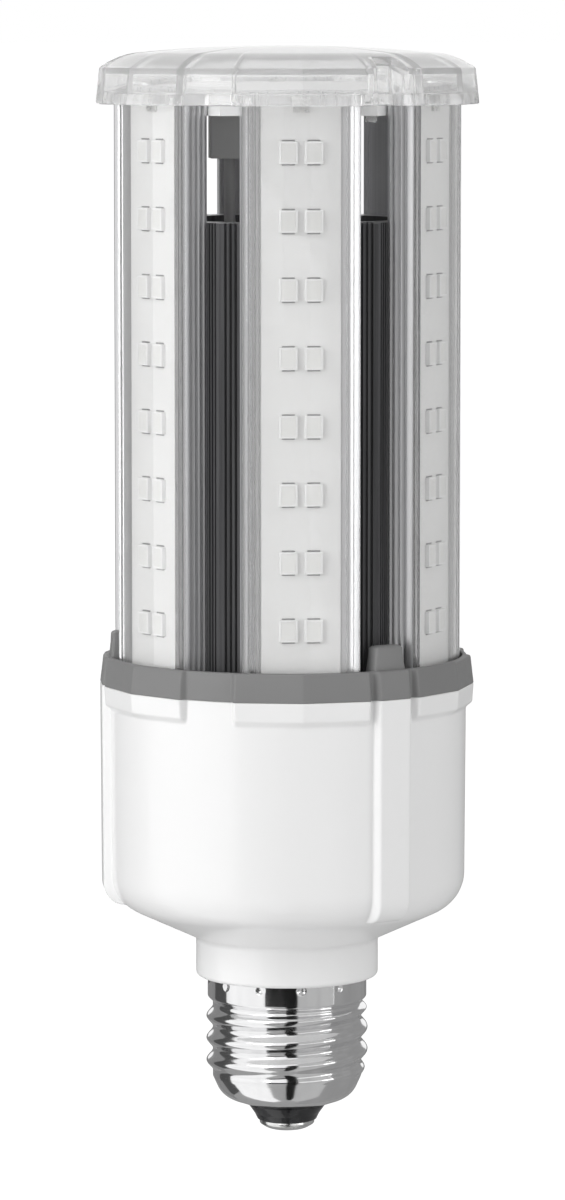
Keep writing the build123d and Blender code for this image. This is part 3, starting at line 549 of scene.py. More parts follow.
def grained(name, shades, polish, grain, cloud=None, metallic=0.0, depth=0.0):
    """Material whose polish and relief follow one noise and whose colour follows it or another."""
    material, tree, shader = new_material(name)
    fine = stretched_noise(tree, *grain)
    tone = stretched_noise(tree, *cloud) if cloud else fine
    tree.links.new(
        tinted(tree, spread(tree, tone, 0.0, 1.0), *shades), shader.inputs["Base Color"]
    )
    tree.links.new(spread(tree, fine, *polish), shader.inputs["Roughness"])
    shader.inputs["Metallic"].default_value = metallic
    if depth:
        bumped(tree, shader, fine, depth)
    return material


def moulding(name, shade, roughness, grain=900.0, depth=0.004 * MM):
    """Moulded plastic: faint cloudiness in the colour and a fine grain."""
    return grained(
        name,
        (scaled(shade, 0.992), scaled(shade, 1.006)),
        (roughness * 0.96, roughness * 1.04),
        (grain, PLAIN, 2.0),
        (60.0, PLAIN, 1.0),
        depth=depth,
    )


def gloss_moulding(name, shade, roughness, coat):
    """Polished moulding: even colour under a gloss skin whose polish varies a little."""
    material, tree, shader = new_material(name)
    shader.inputs["Base Color"].default_value = (*shade, 1.0)
    polish = stretched_noise(tree, 30.0, detail=2.0)
    tree.links.new(
        spread(tree, polish, roughness * 0.96, roughness * 1.04), shader.inputs["Roughness"]
    )
    shader.inputs["Coat Weight"].default_value = coat
    shader.inputs["Coat Roughness"].default_value = 0.08
    return material


def drawn_metal(name, shade, roughness, stretch=(1.0, 1.0, 0.001), scale=1500.0):
    """Drawn or extruded metal with fine lines along its length."""
    return grained(
        name,
        (scaled(shade, 0.82), scaled(shade, 1.1)),
        (roughness * 0.75, roughness * 1.25),
        (scale, stretch, 3.0, 0.7),
        metallic=1.0,
        depth=0.002 * MM,
    )


def clear_plastic(name, shade, clearness, roughness=0.0, wave=0.002 * MM):
    """Clear moulding that bends what is seen through it and lets the lamps' light through."""
    material, tree, shader = new_material(name)
    shader.inputs["Transmission Weight"].default_value = clearness
    shader.inputs["IOR"].default_value = 1.58
    shader.inputs["Base Color"].default_value = (*shade, 1.0)
    cloud = stretched_noise(tree, 90.0, detail=2.0)
    tree.links.new(
        spread(tree, cloud, roughness, roughness + 0.02), shader.inputs["Roughness"]
    )
    bumped(tree, shader, cloud, wave)
    path = tree.nodes.new("ShaderNodeLightPath")
    pane = tree.nodes.new("ShaderNodeBsdfTransparent")
    pane.inputs["Color"].default_value = (*shade, 1.0)
    mix = tree.nodes.new("ShaderNodeMixShader")
    output = tree.nodes["Material Output"]
    tree.links.new(path.outputs["Is Shadow Ray"], mix.inputs[0])
    tree.links.new(shader.outputs["BSDF"], mix.inputs[1])
    tree.links.new(pane.outputs["BSDF"], mix.inputs[2])
    tree.links.new(mix.outputs["Shader"], output.inputs["Surface"])
    return material


def paint(node, material):
    """Gives a carried-over node its material."""
    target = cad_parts[node]
    if not target.material_slots:
        target.data.materials.append(material)
    for place in target.material_slots:
        place.link = "OBJECT"
        place.material = material


class LAMP_OT_screw_shell(Operator):
    """Make the rolled screw shell with its thread, skirt and staking dimples"""

    bl_idname = "lamp.screw_shell"
    bl_label = "Screw Shell"

    def execute(self, context):
        size = context.scene.lamp_shell
        finish = context.scene.lamp_finish
        foot = SHELL_FOOT + size.wall
        wall_foot = SHELL_FOOT + size.dome_height - 0.9 * MM
        skirt_foot = SHELL_TOP - size.skirt_length
        dimple_height = SHELL_TOP - size.dimple_drop
        dimple_step = 360.0 / size.dimple_count
        dimples = [size.first_dimple + index * dimple_step for index in range(size.dimple_count)]
        dome = rounded_path(
            [
                (size.dome_foot_radius, SHELL_FOOT, 0),
                (size.root_radius - 1.4 * MM, SHELL_FOOT + 1.5 * MM, 6.0 * MM),
                (size.root_radius, wall_foot, 0),
            ],
            steps=16,
        )
        row_step = 0.13 * MM
        heights = [wall_foot + row_step]
        while heights[-1] < SHELL_TOP - row_step:
            heights.append(heights[-1] + row_step)

        def thread(angle, height):
            """Radius of the threaded part, with the ridge fading in and out at its ends."""
            turns = (height - size.thread_foot) / size.pitch - near(angle, 90.0) / 360.0
            ridge = 0.5 - 0.5 * cos(2 * pi * turns)
            start = eased((height - size.thread_foot) / (0.6 * size.pitch))
            end = eased((size.thread_top - height) / (0.35 * size.pitch))
            return size.root_radius + (size.crest_radius - size.root_radius) * ridge * start * end

        def skirt(angle, height):
            """Radius of the shoulder and the plain skirt with its dimples."""
            step = eased((height - skirt_foot + 0.9 * MM) / (1.1 * MM))
            radius = size.root_radius + (size.skirt_radius - size.root_radius) * step
            across = min(abs(near(angle, centre)) for centre in dimples)
            away = sqrt((radians(across) * radius) ** 2 + (height - dimple_height) ** 2)
            if away < size.dimple_radius:
                radius -= size.dimple_depth * (1 - (away / size.dimple_radius) ** 2)
            return radius

        def section(angle):
            """The sheet's outer face upwards and its inner face downwards."""
            rows = [tuple(point) for point in dome]
            rows += [(max(thread(angle, z), skirt(angle, z)), z) for z in heights]
            rows.append((skirt(angle, SHELL_TOP), SHELL_TOP))
            inner = [(radius - size.wall, max(height, foot)) for radius, height in rows[::-1]]
            return [(size.hole_radius, SHELL_FOOT), *rows, *inner, (size.hole_radius, foot)]

        angles = column_angles([(centre, 4.0) for centre in dimples], coarse=2.5, fine=0.7)
        vertices, faces = lathe(angles, section)
        plate = self.plate(finish)
        finish_piece("shell_rolled", vertices, faces, [plate], "screw_shell", 60.0)
        return {"FINISHED"}

    def plate(self, finish):
        """Nickel plate, a little rubbed, with low waves from rolling."""
        material, tree, shader = new_material("nickel_plate")
        shader.inputs["Metallic"].default_value = 1.0
        rub = stretched_noise(tree, 500.0, (1.0, 1.0, 0.2), detail=5.0)
        tree.links.new(
            tinted(tree, spread(tree, rub, 0, 1), scaled(finish.shell, 0.94), finish.shell),
            shader.inputs["Base Color"],
        )
        tree.links.new(spread(tree, rub, 0.07, 0.15), shader.inputs["Roughness"])
        bumped(tree, shader, stretched_noise(tree, 350.0, detail=2.0), 0.003 * MM)
        return material


class LAMP_OT_contact(Operator):
    """Make the black insulator and the centre contact"""

    bl_idname = "lamp.contact"
    bl_label = "Insulator and Contact"

    def execute(self, context):
        size = context.scene.lamp_shell
        finish = context.scene.lamp_finish
        shank = size.contact_shank
        skirt = CONTACT_HEAD_RADIUS - 0.12 * MM
        angles = column_angles([], coarse=3.0)
        contact = rounded_path(
            [
                (0, 0, 0),
                (3.1 * MM, 0.28 * MM, 6.0 * MM),
                (CONTACT_HEAD_RADIUS, 1.15 * MM, 0.45 * MM),
                (skirt, CONTACT_HEAD_TOP, 0.15 * MM),
                (shank, CONTACT_HEAD_TOP, 0),
                (shank, CONTACT_SHANK_TOP, 0),
                (0, CONTACT_SHANK_TOP, 0),
            ],
            steps=8,
        )
        vertices, faces = lathe(angles, lambda angle: [tuple(point) for point in contact])
        tin = grained(
            "contact_plate",
            ((0.66, 0.66, 0.65), (0.92, 0.92, 0.91)),
            (0.12, 0.3),
            (700.0, PLAIN, 6.0, 0.65),
            metallic=1.0,
            depth=0.02 * MM,
        )
        finish_piece(
            "contact_head", vertices, faces, [tin], "centre_contact", 50.0
        )

        bore = shank + 0.1 * MM
        lip = SHELL_FOOT + 0.45 * MM
        outline = rounded_path(
            [
                (bore, CONTACT_HEAD_TOP, 0),
                (4.78 * MM, CONTACT_HEAD_TOP, 0.25 * MM),
                (5.25 * MM, CONTACT_HEAD_TOP + 1.0 * MM, 1.2 * MM),
                (size.dome_foot_radius, SHELL_FOOT, 0.1 * MM),
                (size.hole_radius, SHELL_FOOT, 0),
                (size.hole_radius, lip, 0),
                (size.dome_foot_radius, lip, 0),
                (8.0 * MM, INSULATOR_TOP, 0.3 * MM),
                (bore, INSULATOR_TOP, 0),
            ],
            closed=True,
            steps=5,
        )
        vertices, faces = lathe(angles, lambda angle: [tuple(point) for point in outline])
        glass = grained(
            "insulator_glass",
            (finish.insulator, scaled(finish.insulator, 1.6)),
            (0.08, 0.22),
            (420.0, PLAIN, 3.0),
            depth=0.06 * MM,
        )
        finish_piece(
            "insulator_cone", vertices, faces, [glass], "base_insulator", 50.0
        )
        return {"FINISHED"}


class LAMP_OT_housing(Operator):
    """Make the white driver housing with its pads and ribs"""

    bl_idname = "lamp.housing"
    bl_label = "Driver Housing"

    def execute(self, context):
        size = context.scene.lamp_housing
        shell = context.scene.lamp_shell
        finish = context.scene.lamp_finish
        cone_foot = SHELL_TOP + size.neck_length
        wall_foot = cone_foot + size.cone_rise
        pad_foot = RING_FOOT - size.pad_height
        pad_lean = 0.2 * MM
        edge_round = 0.16 * MM
        ledge = cone_foot + size.rib_ledge
        seat_radius = shell.skirt_radius - shell.wall - shell.dimple_depth - 0.2 * MM
        spigot_radius = shell.root_radius - shell.wall - 0.15 * MM
        base = rounded_path(
            [
                (size.neck_bore, SPIGOT_FOOT, 0),
                (spigot_radius, SPIGOT_FOOT, 0.3 * MM),
                (spigot_radius, SHELL_TOP - 3.4 * MM, 0),
                (seat_radius, SHELL_TOP - 2.6 * MM, 0),
                (seat_radius, SHELL_TOP, 0),
                (size.neck_radius, SHELL_TOP, 0.75 * MM),
                (size.neck_radius, cone_foot, 1.1 * MM),
                (size.foot_radius, wall_foot, size.cone_round),
                (size.rim_radius, RING_FOOT, 0),
            ],
            steps=14,
        )
        start = next(i for i, point in enumerate(base) if point.y > cone_foot + 2.0 * MM)
        wall_rows = [tuple(point) for point in base[start:]]
        round_top = wall_rows[-2][1]
        # Rows at the ledge, up the wall, at the pads' slope and at the rim
        levels = [ledge + offset * MM for offset in (-0.14, -0.07, 0.0, 0.07, 0.16, 0.3, 0.5)]
        levels += [ledge + step * 0.2 * MM for step in range(4, 14)]
        levels += [round_top + step * 2.4 * MM for step in range(1, 12)]
        levels += [pad_foot - size.pad_chamfer + step * 0.15 * MM for step in range(-2, 12)]
        levels += [pad_foot + step * 0.3 * MM for step in range(3, 10)]
        levels += [RING_FOOT - offset * MM for offset in (0.2, 0.12, 0.06)]

        def base_radius(height):
            """Radius of the plain wall at a height."""
            if height <= wall_rows[0][1]:
                return wall_rows[0][0]
            for (r0, z0), (r1, z1) in zip(wall_rows, wall_rows[1:]):
                if height <= z1:
                    return r0 + (r1 - r0) * (height - z0) / max(z1 - z0, 1e-9)
            return wall_rows[-1][0]

        levels += [z for _, z in wall_rows]
        heights = sorted({round(z, 7) for z in levels if z <= RING_FOOT + 1e-7})
        radii = {z: base_radius(z) for z in heights}

        def pad_reach(height):
            """Share of a pad's depth at a height, with its slope at the foot."""
            share = (height - pad_foot + size.pad_chamfer) / size.pad_chamfer
            return min(max(share, 0.0), 1.0)

        def rib_foot_drop(height):
            """Amount by which the rib's foot rounds in above its ledge."""
            rise = max(size.rib_foot_round - max(height - ledge, 0.0), 0.0)
            return size.rib_foot_round - sqrt(size.rib_foot_round**2 - rise**2)

        def round_over(height):
            """Small rounding at the rim."""
            return 0.12 * MM * max(0.0, 1 - (RING_FOOT - height) / (0.2 * MM)) ** 2

        def section(angle):
            """Spigot, neck, cone and wall upwards, then the inside down to the neck's bore."""
            rows = [tuple(point) for point in base[:start]]
            lobe = softened(lambda at: lobed(at, size.pad_radius, size.rim_radius), angle)
            for height in heights:
                radius = radii[height]
                share = (height - ledge) / (RING_FOOT - ledge)
                rib_top = size.rib_radius + (size.pad_radius - size.rib_radius) * share
                rib_top = max(rib_top - rib_foot_drop(height), radius)
                rib = softened(lambda at: ribbed(at, rib_top, radius), angle) - radius
                lean = max(pad_lean * (RING_FOOT - height) / size.pad_height, 0.0)
                pad = max(lobe - size.rim_radius - lean, 0.0)
                pad *= softened(pad_reach, height, edge_round)
                radius += max(pad, rib * eased((height - ledge) / edge_round))
                rows.append((radius - round_over(height), height))
            inner = size.rim_radius - size.wall
            rows += [
                (inner, RING_FOOT),
                (size.foot_radius - size.wall, wall_foot + 5.0 * MM),
                (size.foot_radius - size.wall - 1.6 * MM, wall_foot + 1.6 * MM),
                (size.neck_bore, cone_foot - 0.2 * MM),
            ]
            return rows

        vertices, faces = lathe(edge_angles(), section)
        gloss = gloss_moulding("housing_gloss", finish.housing, finish.housing_roughness, 0.35)
        finish_piece("housing_body", vertices, faces, [gloss], "driver_housing", 50.0)
        return {"FINISHED"}


class LAMP_OT_collar(Operator):
    """Make the grey collar ring with its three tabs"""

    bl_idname = "lamp.collar"
    bl_label = "Collar Ring"

    def execute(self, context):
        size = context.scene.lamp_collar
        finish = context.scene.lamp_finish
        ring_top = RING_FOOT + size.height
        floor_foot = SEGMENT_FOOT - size.floor
        gap_draft = size.height * tan(radians(2.0))

        def outline(angle, ridge, gap):
            """Radius of the ring's wall, with its lobes and the ribs between them."""
            return softened(lambda at: max(lobed(at, ridge, gap), ribbed(at, ridge, gap)), angle)

        def section(angle):
            """Floor, spigot, outer wall and trough, once round."""
            foot = outline(angle, size.lobe_radius, size.gap_radius)
            rim = outline(angle, size.lobe_radius - size.draft, size.gap_radius - gap_draft)
            corners = [
                (size.bore_radius, floor_foot, 0.3 * MM),
                (size.spigot_radius - size.spigot_wall, floor_foot, 0.3 * MM),
                (size.spigot_radius - size.spigot_wall, RING_SPIGOT_FOOT, 0.2 * MM),
                (size.spigot_radius, RING_SPIGOT_FOOT, 0.2 * MM),
                (size.spigot_radius, RING_FOOT, 0.05 * MM),
                (foot, RING_FOOT, 0.16 * MM),
                (rim, ring_top, 0.38 * MM),
                (size.trough_radius, ring_top, 0.3 * MM),
                (size.trough_radius, SEGMENT_FOOT, 0.2 * MM),
                (size.bore_radius, SEGMENT_FOOT, 0.3 * MM),
            ]
            return [tuple(point) for point in rounded_path(corners, closed=True, steps=4)]

        parts = [lathe(edge_angles(), section)]
        parts += [self.tab(size, angle) for angle in TAB_ANGLES]
        vertices, faces = joined(parts)
        satin = moulding("collar_moulding", finish.collar, finish.collar_roughness, 700.0)
        finish_piece("collar_body", vertices, faces, [satin], "collar_ring", 50.0)
        return {"FINISHED"}

    def tab(self, size, angle):
        """Tapered tab with a rounded front, as vertices and faces."""
        outer = size.trough_radius + size.tab_seat
        foot = SEGMENT_FOOT - size.tab_seat
        lean = 0.6 * MM
        levels = 10
        rounding = {levels: (0.0, 0.45 * MM), levels - 1: (0.16 * MM, 0.14 * MM)}
        rounding[levels - 2] = (0.45 * MM, 0.0)
        rings = []
        for level in range(levels + 1):
            share = level / levels
            height = foot + share * (TAB_TOP - foot)
            shrink = 0.0
            if level in rounding:
                drop, shrink = rounding[level]
                height = TAB_TOP - drop
            front = outer - share * lean - shrink
            back = outer - size.tab_thickness + share * lean + shrink
            half = size.tab_foot + share * (size.tab_top - size.tab_foot) - shrink
            corners = [
                (front, -half, 0.5 * MM),
                (front, half, 0.5 * MM),
                (back, half, 0.3 * MM),
                (back, -half, 0.3 * MM),
            ]
            rings.append(seated(rounded_path(corners, closed=True, steps=4), height, angle))
        return stack(rings)


class LAMP_OT_core(Operator):
    """Finish the dark heat sink core"""

    bl_idname = "lamp.core"
    bl_label = "Heat Sink Core"

    def execute(self, context):
        finish = context.scene.lamp_finish
        material, tree, shader = new_material("anodised_with_lit_top")
        lines = stretched_noise(tree, 900.0, (1.0, 1.0, 0.012), detail=4.0, roughness=0.7)
        dark = tinted(
            tree, spread(tree, lines, 0, 1), scaled(finish.core, 0.75), scaled(finish.core, 1.4)
        )
        # Faces that point up, the core's top, are pale grey: bare cut metal, with painted light
        # from above in its paleness
        geometry = tree.nodes.new("ShaderNodeNewGeometry")
        split = tree.nodes.new("ShaderNodeSeparateXYZ")
        tree.links.new(geometry.outputs["Normal"], split.inputs["Vector"])
        bare_and_lit_top = tree.nodes.new("ShaderNodeMapRange")
        bare_and_lit_top.inputs["From Min"].default_value = 0.8
        bare_and_lit_top.inputs["From Max"].default_value = 0.95
        tree.links.new(split.outputs["Z"], bare_and_lit_top.inputs["Value"])
        blend = tree.nodes.new("ShaderNodeMix")
        blend.data_type = "RGBA"
        blend.inputs["B"].default_value = (0.55, 0.55, 0.56, 1.0)
        tree.links.new(bare_and_lit_top.outputs["Result"], blend.inputs["Factor"])
        tree.links.new(dark, blend.inputs["A"])
        tree.links.new(blend.outputs["Result"], shader.inputs["Base Color"])
        tree.links.new(spread(tree, lines, 0.32, 0.5), shader.inputs["Roughness"])
        shader.inputs["Metallic"].default_value = 0.6
        bumped(tree, shader, lines, 0.02 * MM)
        paint("heat_sink_core", material)
        return {"FINISHED"}


class LAMP_OT_channels(Operator):
    """Make the six aluminium channels with grooved sides"""

    bl_idname = "lamp.channels"
    bl_label = "Segment Channels"

    def execute(self, context):
        size = context.scene.lamp_segment
        finish = context.scene.lamp_finish
        metal = drawn_metal("channel_metal", finish.channel, 0.3)
        half = SEGMENT_HALF_WIDTH
        inner = half - size.channel_wall
        side = [(CORE_FACE, half, 0.15 * MM)]
        for groove in range(size.groove_count):
            middle = CORE_FACE + size.first_groove + groove * size.groove_pitch
            side += [
                (middle - size.groove_size, half, 0.08 * MM),
                (middle, half - size.groove_size, 0.08 * MM),
                (middle + size.groove_size, half, 0.08 * MM),
            ]
        side += [
            (CHANNEL_FACE, half, 0.12 * MM),
            (CHANNEL_FACE, inner, 0.12 * MM),
            (CORE_FACE + size.channel_base, inner, 0.1 * MM),
        ]
        corners = [(out, -across, radius) for out, across, radius in side]
        corners += [(out, across, radius) for out, across, radius in side[::-1]]
        outline = [tuple(point) for point in rounded_path(corners, closed=True, steps=2)]
        segment_pieces("channel", outline, metal)
        return {"FINISHED"}


class LAMP_OT_boards(Operator):
    """Make the six white LED boards and their chips"""

    bl_idname = "lamp.boards"
    bl_label = "LED Boards and Chips"

    def execute(self, context):
        size = context.scene.lamp_segment
        finish = context.scene.lamp_finish
        board = grained(
            "solder_mask",
            (scaled(finish.board, 0.97), scaled(finish.board, 1.01)),
            (0.35, 0.5),
            (1400.0, PLAIN, 2.0),
            (120.0,),
            depth=0.004 * MM,
        )
        chip_materials = [
            moulding("chip_frame", finish.chip, 0.45, 2500.0),
            moulding("chip_window", finish.window, 0.35, 2500.0, 0.01 * MM),
            drawn_metal("chip_terminal", (0.30, 0.30, 0.30), 0.4, PLAIN),
        ]
        parts = self.chip_parts(size)
        chip_vertices, chip_faces = joined([part[:2] for part in parts])
        groups = [group for _, faces, group in parts for _ in faces]
        corner = (-BOARD_HALF_WIDTH, -BOARD_FACE, SEGMENT_FOOT)
        extent = (2 * BOARD_HALF_WIDTH, BOARD_FACE - BOARD_BACK, BOARD_TOP - SEGMENT_FOOT)
        board_vertices, board_faces = block(corner, extent, 0.08 * MM)
        for number, angle in enumerate(SEGMENT_ANGLES, 1):
            vertices = turned(board_vertices, angle)
            node = f"led_board_{number}"
            finish_piece(f"board_{number}", vertices, board_faces, [board], node)
            finish_piece(
                f"chips_{number}",
                turned(chip_vertices, angle),
                chip_faces,
                chip_materials,
                f"led_chips_{number}",
                groups=groups,
            )
        return {"FINISHED"}

    def chip_parts(self, size):
        """Chips of the front segment: frame, window and two terminals each."""
        border = size.window_border
        window = (size.chip_width - 2 * border, 0.1 * MM, size.chip_length - 2 * border)
        terminal = (2.0 * MM, 0.16 * MM, 0.28 * MM)
        terminal_reach = size.chip_length / 2 + 0.1 * MM
        first = CHIP_FOOT + size.chip_length / 2
        pitch = (CHIP_TOP - CHIP_FOOT - size.chip_length) / (size.chip_rows - 1)
        column = CHIP_REACH - size.chip_width / 2

        def centred(x, y, z, extent, edge):
            """Block that is centred across and upwards, from a depth inwards."""
            return block((x - extent[0] / 2, y, z - extent[2] / 2), extent, edge, 1)

        parts = []
        for row in range(size.chip_rows):
            z = first + row * pitch
            for x in (-column, column):
                face = 0.5 * size.window_depth - CHIP_FACE
                parts.append((*self.chip_body(size, x, z, border), 0))
                parts.append((*centred(x, face, z, window, 0.02 * MM), 1))
                for end in (-terminal_reach, terminal_reach):
                    foot = -BOARD_FACE - terminal[1]
                    parts.append((*centred(x, foot, z + end, terminal, 0.03 * MM), 2))
        return parts

    def chip_body(self, size, x, z, border):
        """Frame of one chip: a low block with a recess for the window."""
        half_width = size.chip_width / 2
        half_length = size.chip_length / 2
        edge = 0.1 * MM
        levels = [
            (0.0, -BOARD_FACE),
            (0.0, -CHIP_FACE + edge),
            (0.3 * edge, -CHIP_FACE + 0.3 * edge),
            (edge, -CHIP_FACE),
            (border - 0.05 * MM, -CHIP_FACE),
            (border, -CHIP_FACE + size.window_depth),
        ]
        corners = ((-1, -1), (1, -1), (1, 1), (-1, 1))
        rings = [
            [
                (x + across * (half_width - inset), depth, z + up * (half_length - inset))
                for across, up in corners
            ]
            for inset, depth in levels
        ]
        return stack(rings)


class LAMP_OT_covers(Operator):
    """Make the six clear curved covers"""

    bl_idname = "lamp.covers"
    bl_label = "Segment Covers"

    def execute(self, context):
        size = context.scene.lamp_segment
        finish = context.scene.lamp_finish
        clear = clear_plastic("cover_clear", finish.clear, 0.95, wave=0.0004 * MM)
        half = SEGMENT_HALF_WIDTH
        leg_out = half - size.channel_wall - 0.05 * MM
        leg_in = leg_out - size.leg_width
        inner_radius = COVER_RADIUS - size.cover_wall
        corner = half - 0.12 * MM
        steps = 24

        def arc(radius, start, end):
            """Points of the curved wall, from one place across to another."""
            places = [start + (end - start) * step / steps for step in range(steps + 1)]
            return [(sqrt(radius**2 - across**2), across) for across in places]

        outer = arc(COVER_RADIUS, -corner, corner)
        inner = arc(inner_radius, leg_in, -leg_in)
        seat = CHANNEL_FACE + 0.02 * MM
        leg_foot = BOARD_BACK + 0.05 * MM
        right = rounded_path(
            [
                (outer[-1][0], outer[-1][1], 0),
                (seat, half - 0.05 * MM, 0.03 * MM),
                (seat, leg_out, 0.05 * MM),
                (leg_foot, leg_out, 0.15 * MM),
                (leg_foot, leg_in, 0.15 * MM),
                (inner[0][0], inner[0][1], 0),
            ],
            steps=3,
        )
        right = [tuple(point) for point in right[1:-1]]
        left = [(out, -across) for out, across in right[::-1]]
        outline = outer + right + inner + left
        segment_pieces("cover", outline, clear)
        return {"FINISHED"}


class LAMP_OT_cap(Operator):
    """Make the clear domed cap with its lobes, notches, web and pins"""

    bl_idname = "lamp.cap"
    bl_label = "Top Cap"

    def execute(self, context):
        size = context.scene.lamp_cap
        finish = context.scene.lamp_finish
        foot = SEGMENT_TOP - size.overlap
        draft = tan(radians(6.0))
        flare = tan(radians(20.0))
        spacing = [(step / 22) ** 0.8 for step in range(22)]
        crown_bend = (size.crown_radius**2 + size.crown_drop**2) / (2 * size.crown_drop)
        crown_slope = size.crown_radius / (crown_bend - size.crown_drop)
        shoulder_run = size.edge_radius - size.crown_radius
        shoulder_drop = size.edge_drop - size.crown_drop

        def dome(radius, reach):
            """Height of the dome: a flat crown and a shoulder that bends down at the reach."""
            radius *= size.lobe_radius / reach
            if radius <= size.crown_radius:
                return CAP_TOP - crown_bend + sqrt(crown_bend**2 - radius**2)
            share = (radius - size.crown_radius) / shoulder_run
            start = shoulder_run * crown_slope
            return CAP_TOP - size.crown_drop - start * share - (shoulder_drop - start) * share**2

        def lobes(angle):
            """Radius of the cap's foot without its notches."""
            return lobed(angle, size.lobe_radius, size.gap_radius, side_angle=0.35)

        def plan(angle):
            """Radius of the cap's foot, with lobes and deep notches."""
            radius = lobes(angle)
            offset = radians(min(abs(near(angle, centre)) for centre in TAB_ANGLES))
            floor = size.notch_radius / cos(offset)
            if floor * sin(offset) <= size.notch_half_width:
                return min(radius, floor)
            slope = flare * cos(offset) - sin(offset)
            if slope > 0:
                side = (flare * size.notch_radius - size.notch_half_width) / slope
                return min(radius, side)
            return radius

        def pocket(angle):
            """Radius of the web's inner edge: out at the segments, in between them."""
            offset = min(abs(near(angle, centre)) for centre in SEGMENT_ANGLES)
            reach = COVER_RADIUS + 0.1 * MM
            side = SEGMENT_HALF_WIDTH + 0.1 * MM
            if offset < 1.0:
                return reach
            return min(reach, max(size.web_radius, side / sin(radians(offset))))

        def section(angle):
            """Dome and wall down to the foot, then the web and the inside up to the axis."""
            outside = softened(plan, angle)
            reach = softened(lobes, angle)
            edge = outside
            for _ in range(4):
                edge = outside - (dome(edge, reach) - foot) * draft
            inside = min(outside - size.wall, edge - 1.5 * MM)
            web = min(softened(pocket, angle), inside - 0.2 * MM)
            top = [(edge * share, dome(edge * share, reach), 0) for share in spacing]
            under = [
                (inside * share, dome(inside * share, reach) - size.wall, 0)
                for share in spacing[::-1]
            ]
            corners = top + [
                (edge, dome(edge, reach), 0.35 * MM),
                (outside - 0.8 * MM * draft, foot + 0.8 * MM, 0),
                (outside, foot, 0.3 * MM),
                (web, foot, 0.2 * MM),
                (web, SEGMENT_TOP, 0.2 * MM),
                (inside, SEGMENT_TOP, 0.25 * MM),
                (inside, dome(inside, reach) - size.wall, 0.4 * MM),
            ]
            return [tuple(point) for point in rounded_path(corners + under, steps=4)]

        features = [(centre, 1.2) for centre in SEGMENT_ANGLES]
        features += [(centre + side * 21.1, 1.5) for centre in SEGMENT_ANGLES for side in (-1, 1)]
        features += [(centre + side * 5.0, 2.0) for centre in TAB_ANGLES for side in (-1, 1)]
        angles = column_angles(features, 1.5, 0.25)
        pin_top = foot + size.overlap / 2
        pin = [
            (0, CAP_PIN_FOOT),
            (size.pin_radius - 0.2 * MM, CAP_PIN_FOOT),
            (size.pin_radius, CAP_PIN_FOOT + 0.2 * MM),
            (size.pin_radius, pin_top),
            (0, pin_top),
        ]
        pin_vertices, pin_faces = lathe(column_angles([], coarse=15.0), lambda angle: pin)
        placed = [(x, y - size.pin_circle, z) for x, y, z in pin_vertices]
        parts = [lathe(angles, section)]
        parts += [(turned(placed, centre), pin_faces) for centre in TAB_ANGLES]
        vertices, faces = joined(parts)
        clear = clear_plastic("cap_clear", finish.clear, 0.82, 0.03, 0.004 * MM)
        finish_piece("cap_dome", vertices, faces, [clear], "top_cap", 50.0)
        return {"FINISHED"}


class LAMP_OT_inner_pieces(Operator):
    """Finish the junction board, the driver and the leads inside the lamp"""

    bl_idname = "lamp.inner_pieces"
    bl_label = "Inner Pieces"

    def execute(self, context):
        can = moulding("can_sleeve", (0.02, 0.03, 0.05), 0.25, 600.0)
        ferrite = moulding("ferrite_grain", (0.03, 0.03, 0.032), 0.75, 1200.0, 0.03 * MM)
        epoxy = moulding("black_epoxy", (0.02, 0.02, 0.02), 0.55, 1100.0, 0.01 * MM)
        zinc = drawn_metal("zinc_plate", (0.62, 0.62, 0.64), 0.3, PLAIN, 900.0)
        turns = (0.02, 0.02, 1.0)
        finishes = {
            "junction_board": moulding("junction_mask", (0.85, 0.85, 0.85), 0.4),
            "junction_connector": moulding("connector_nylon", (0.88, 0.88, 0.87), 0.4),
            "board_jumpers": drawn_metal("tinned_strip", (0.68, 0.68, 0.67), 0.3, PLAIN, 900.0),
            "output_leads": moulding("grey_insulation", (0.72, 0.72, 0.72), 0.4, 600.0),
            "live_lead": moulding("black_insulation", (0.02, 0.02, 0.02), 0.4, 600.0),
            "neutral_lead": moulding("white_insulation", (0.70, 0.70, 0.70), 0.4, 600.0),
            "driver_board": moulding("driver_mask", (0.03, 0.13, 0.05), 0.35, 700.0),
            "input_capacitor": can,
            "output_capacitor": can,
            "film_capacitor": moulding("film_box", (0.40, 0.05, 0.03), 0.4, 700.0),
            "transformer_core": ferrite,
            "transformer_winding": moulding("yellow_tape", (0.70, 0.48, 0.06), 0.35, 500.0),
            "choke_core": ferrite,
            "choke_winding": drawn_metal("copper_turns", (0.55, 0.22, 0.09), 0.35, turns, 2500.0),
            "bridge_rectifier": epoxy,
            "switching_transistor": epoxy,
            "fuse": moulding("fuse_ceramic", (0.62, 0.58, 0.50), 0.35, 700.0),
            "varistor": moulding("varistor_coat", (0.02, 0.09, 0.30), 0.3, 500.0),
            "driver_screws": zinc,
            "collar_screws": zinc,
        }
        for node, material in finishes.items():
            paint(node, material)
        return {"FINISHED"}


# Cards of the studio: name, azimuth and width in degrees, grey, distance from the axis to
# which a strip runs in along the floor, top, and for a raised card the height where it starts
FLAGS = (
    ("front_flag", -21.5, 30.0, 0.01, 0.8, 0.09),
    ("camera_flag", 1.6, 17.0, 0.01, 0.05, 0.8),
    ("left_card", -69.5, 66.0, 0.98, 0.03, 0.7),
    ("left_flag", -118.0, 30.0, 0.08, 0.2, 0.7),
    ("back_left_flag", -146.0, 26.0, 0.25, 0.2, 0.7),
    ("right_flag", 38.0, 55.0, 0.49, 0.03, 0.005),
    ("right_top_flag", 38.0, 55.0, 0.49, 0.8, 1.4, 0.2),
    ("back_right_flag", 106.0, 80.0, 0.3, 0.03, 1.4),
)


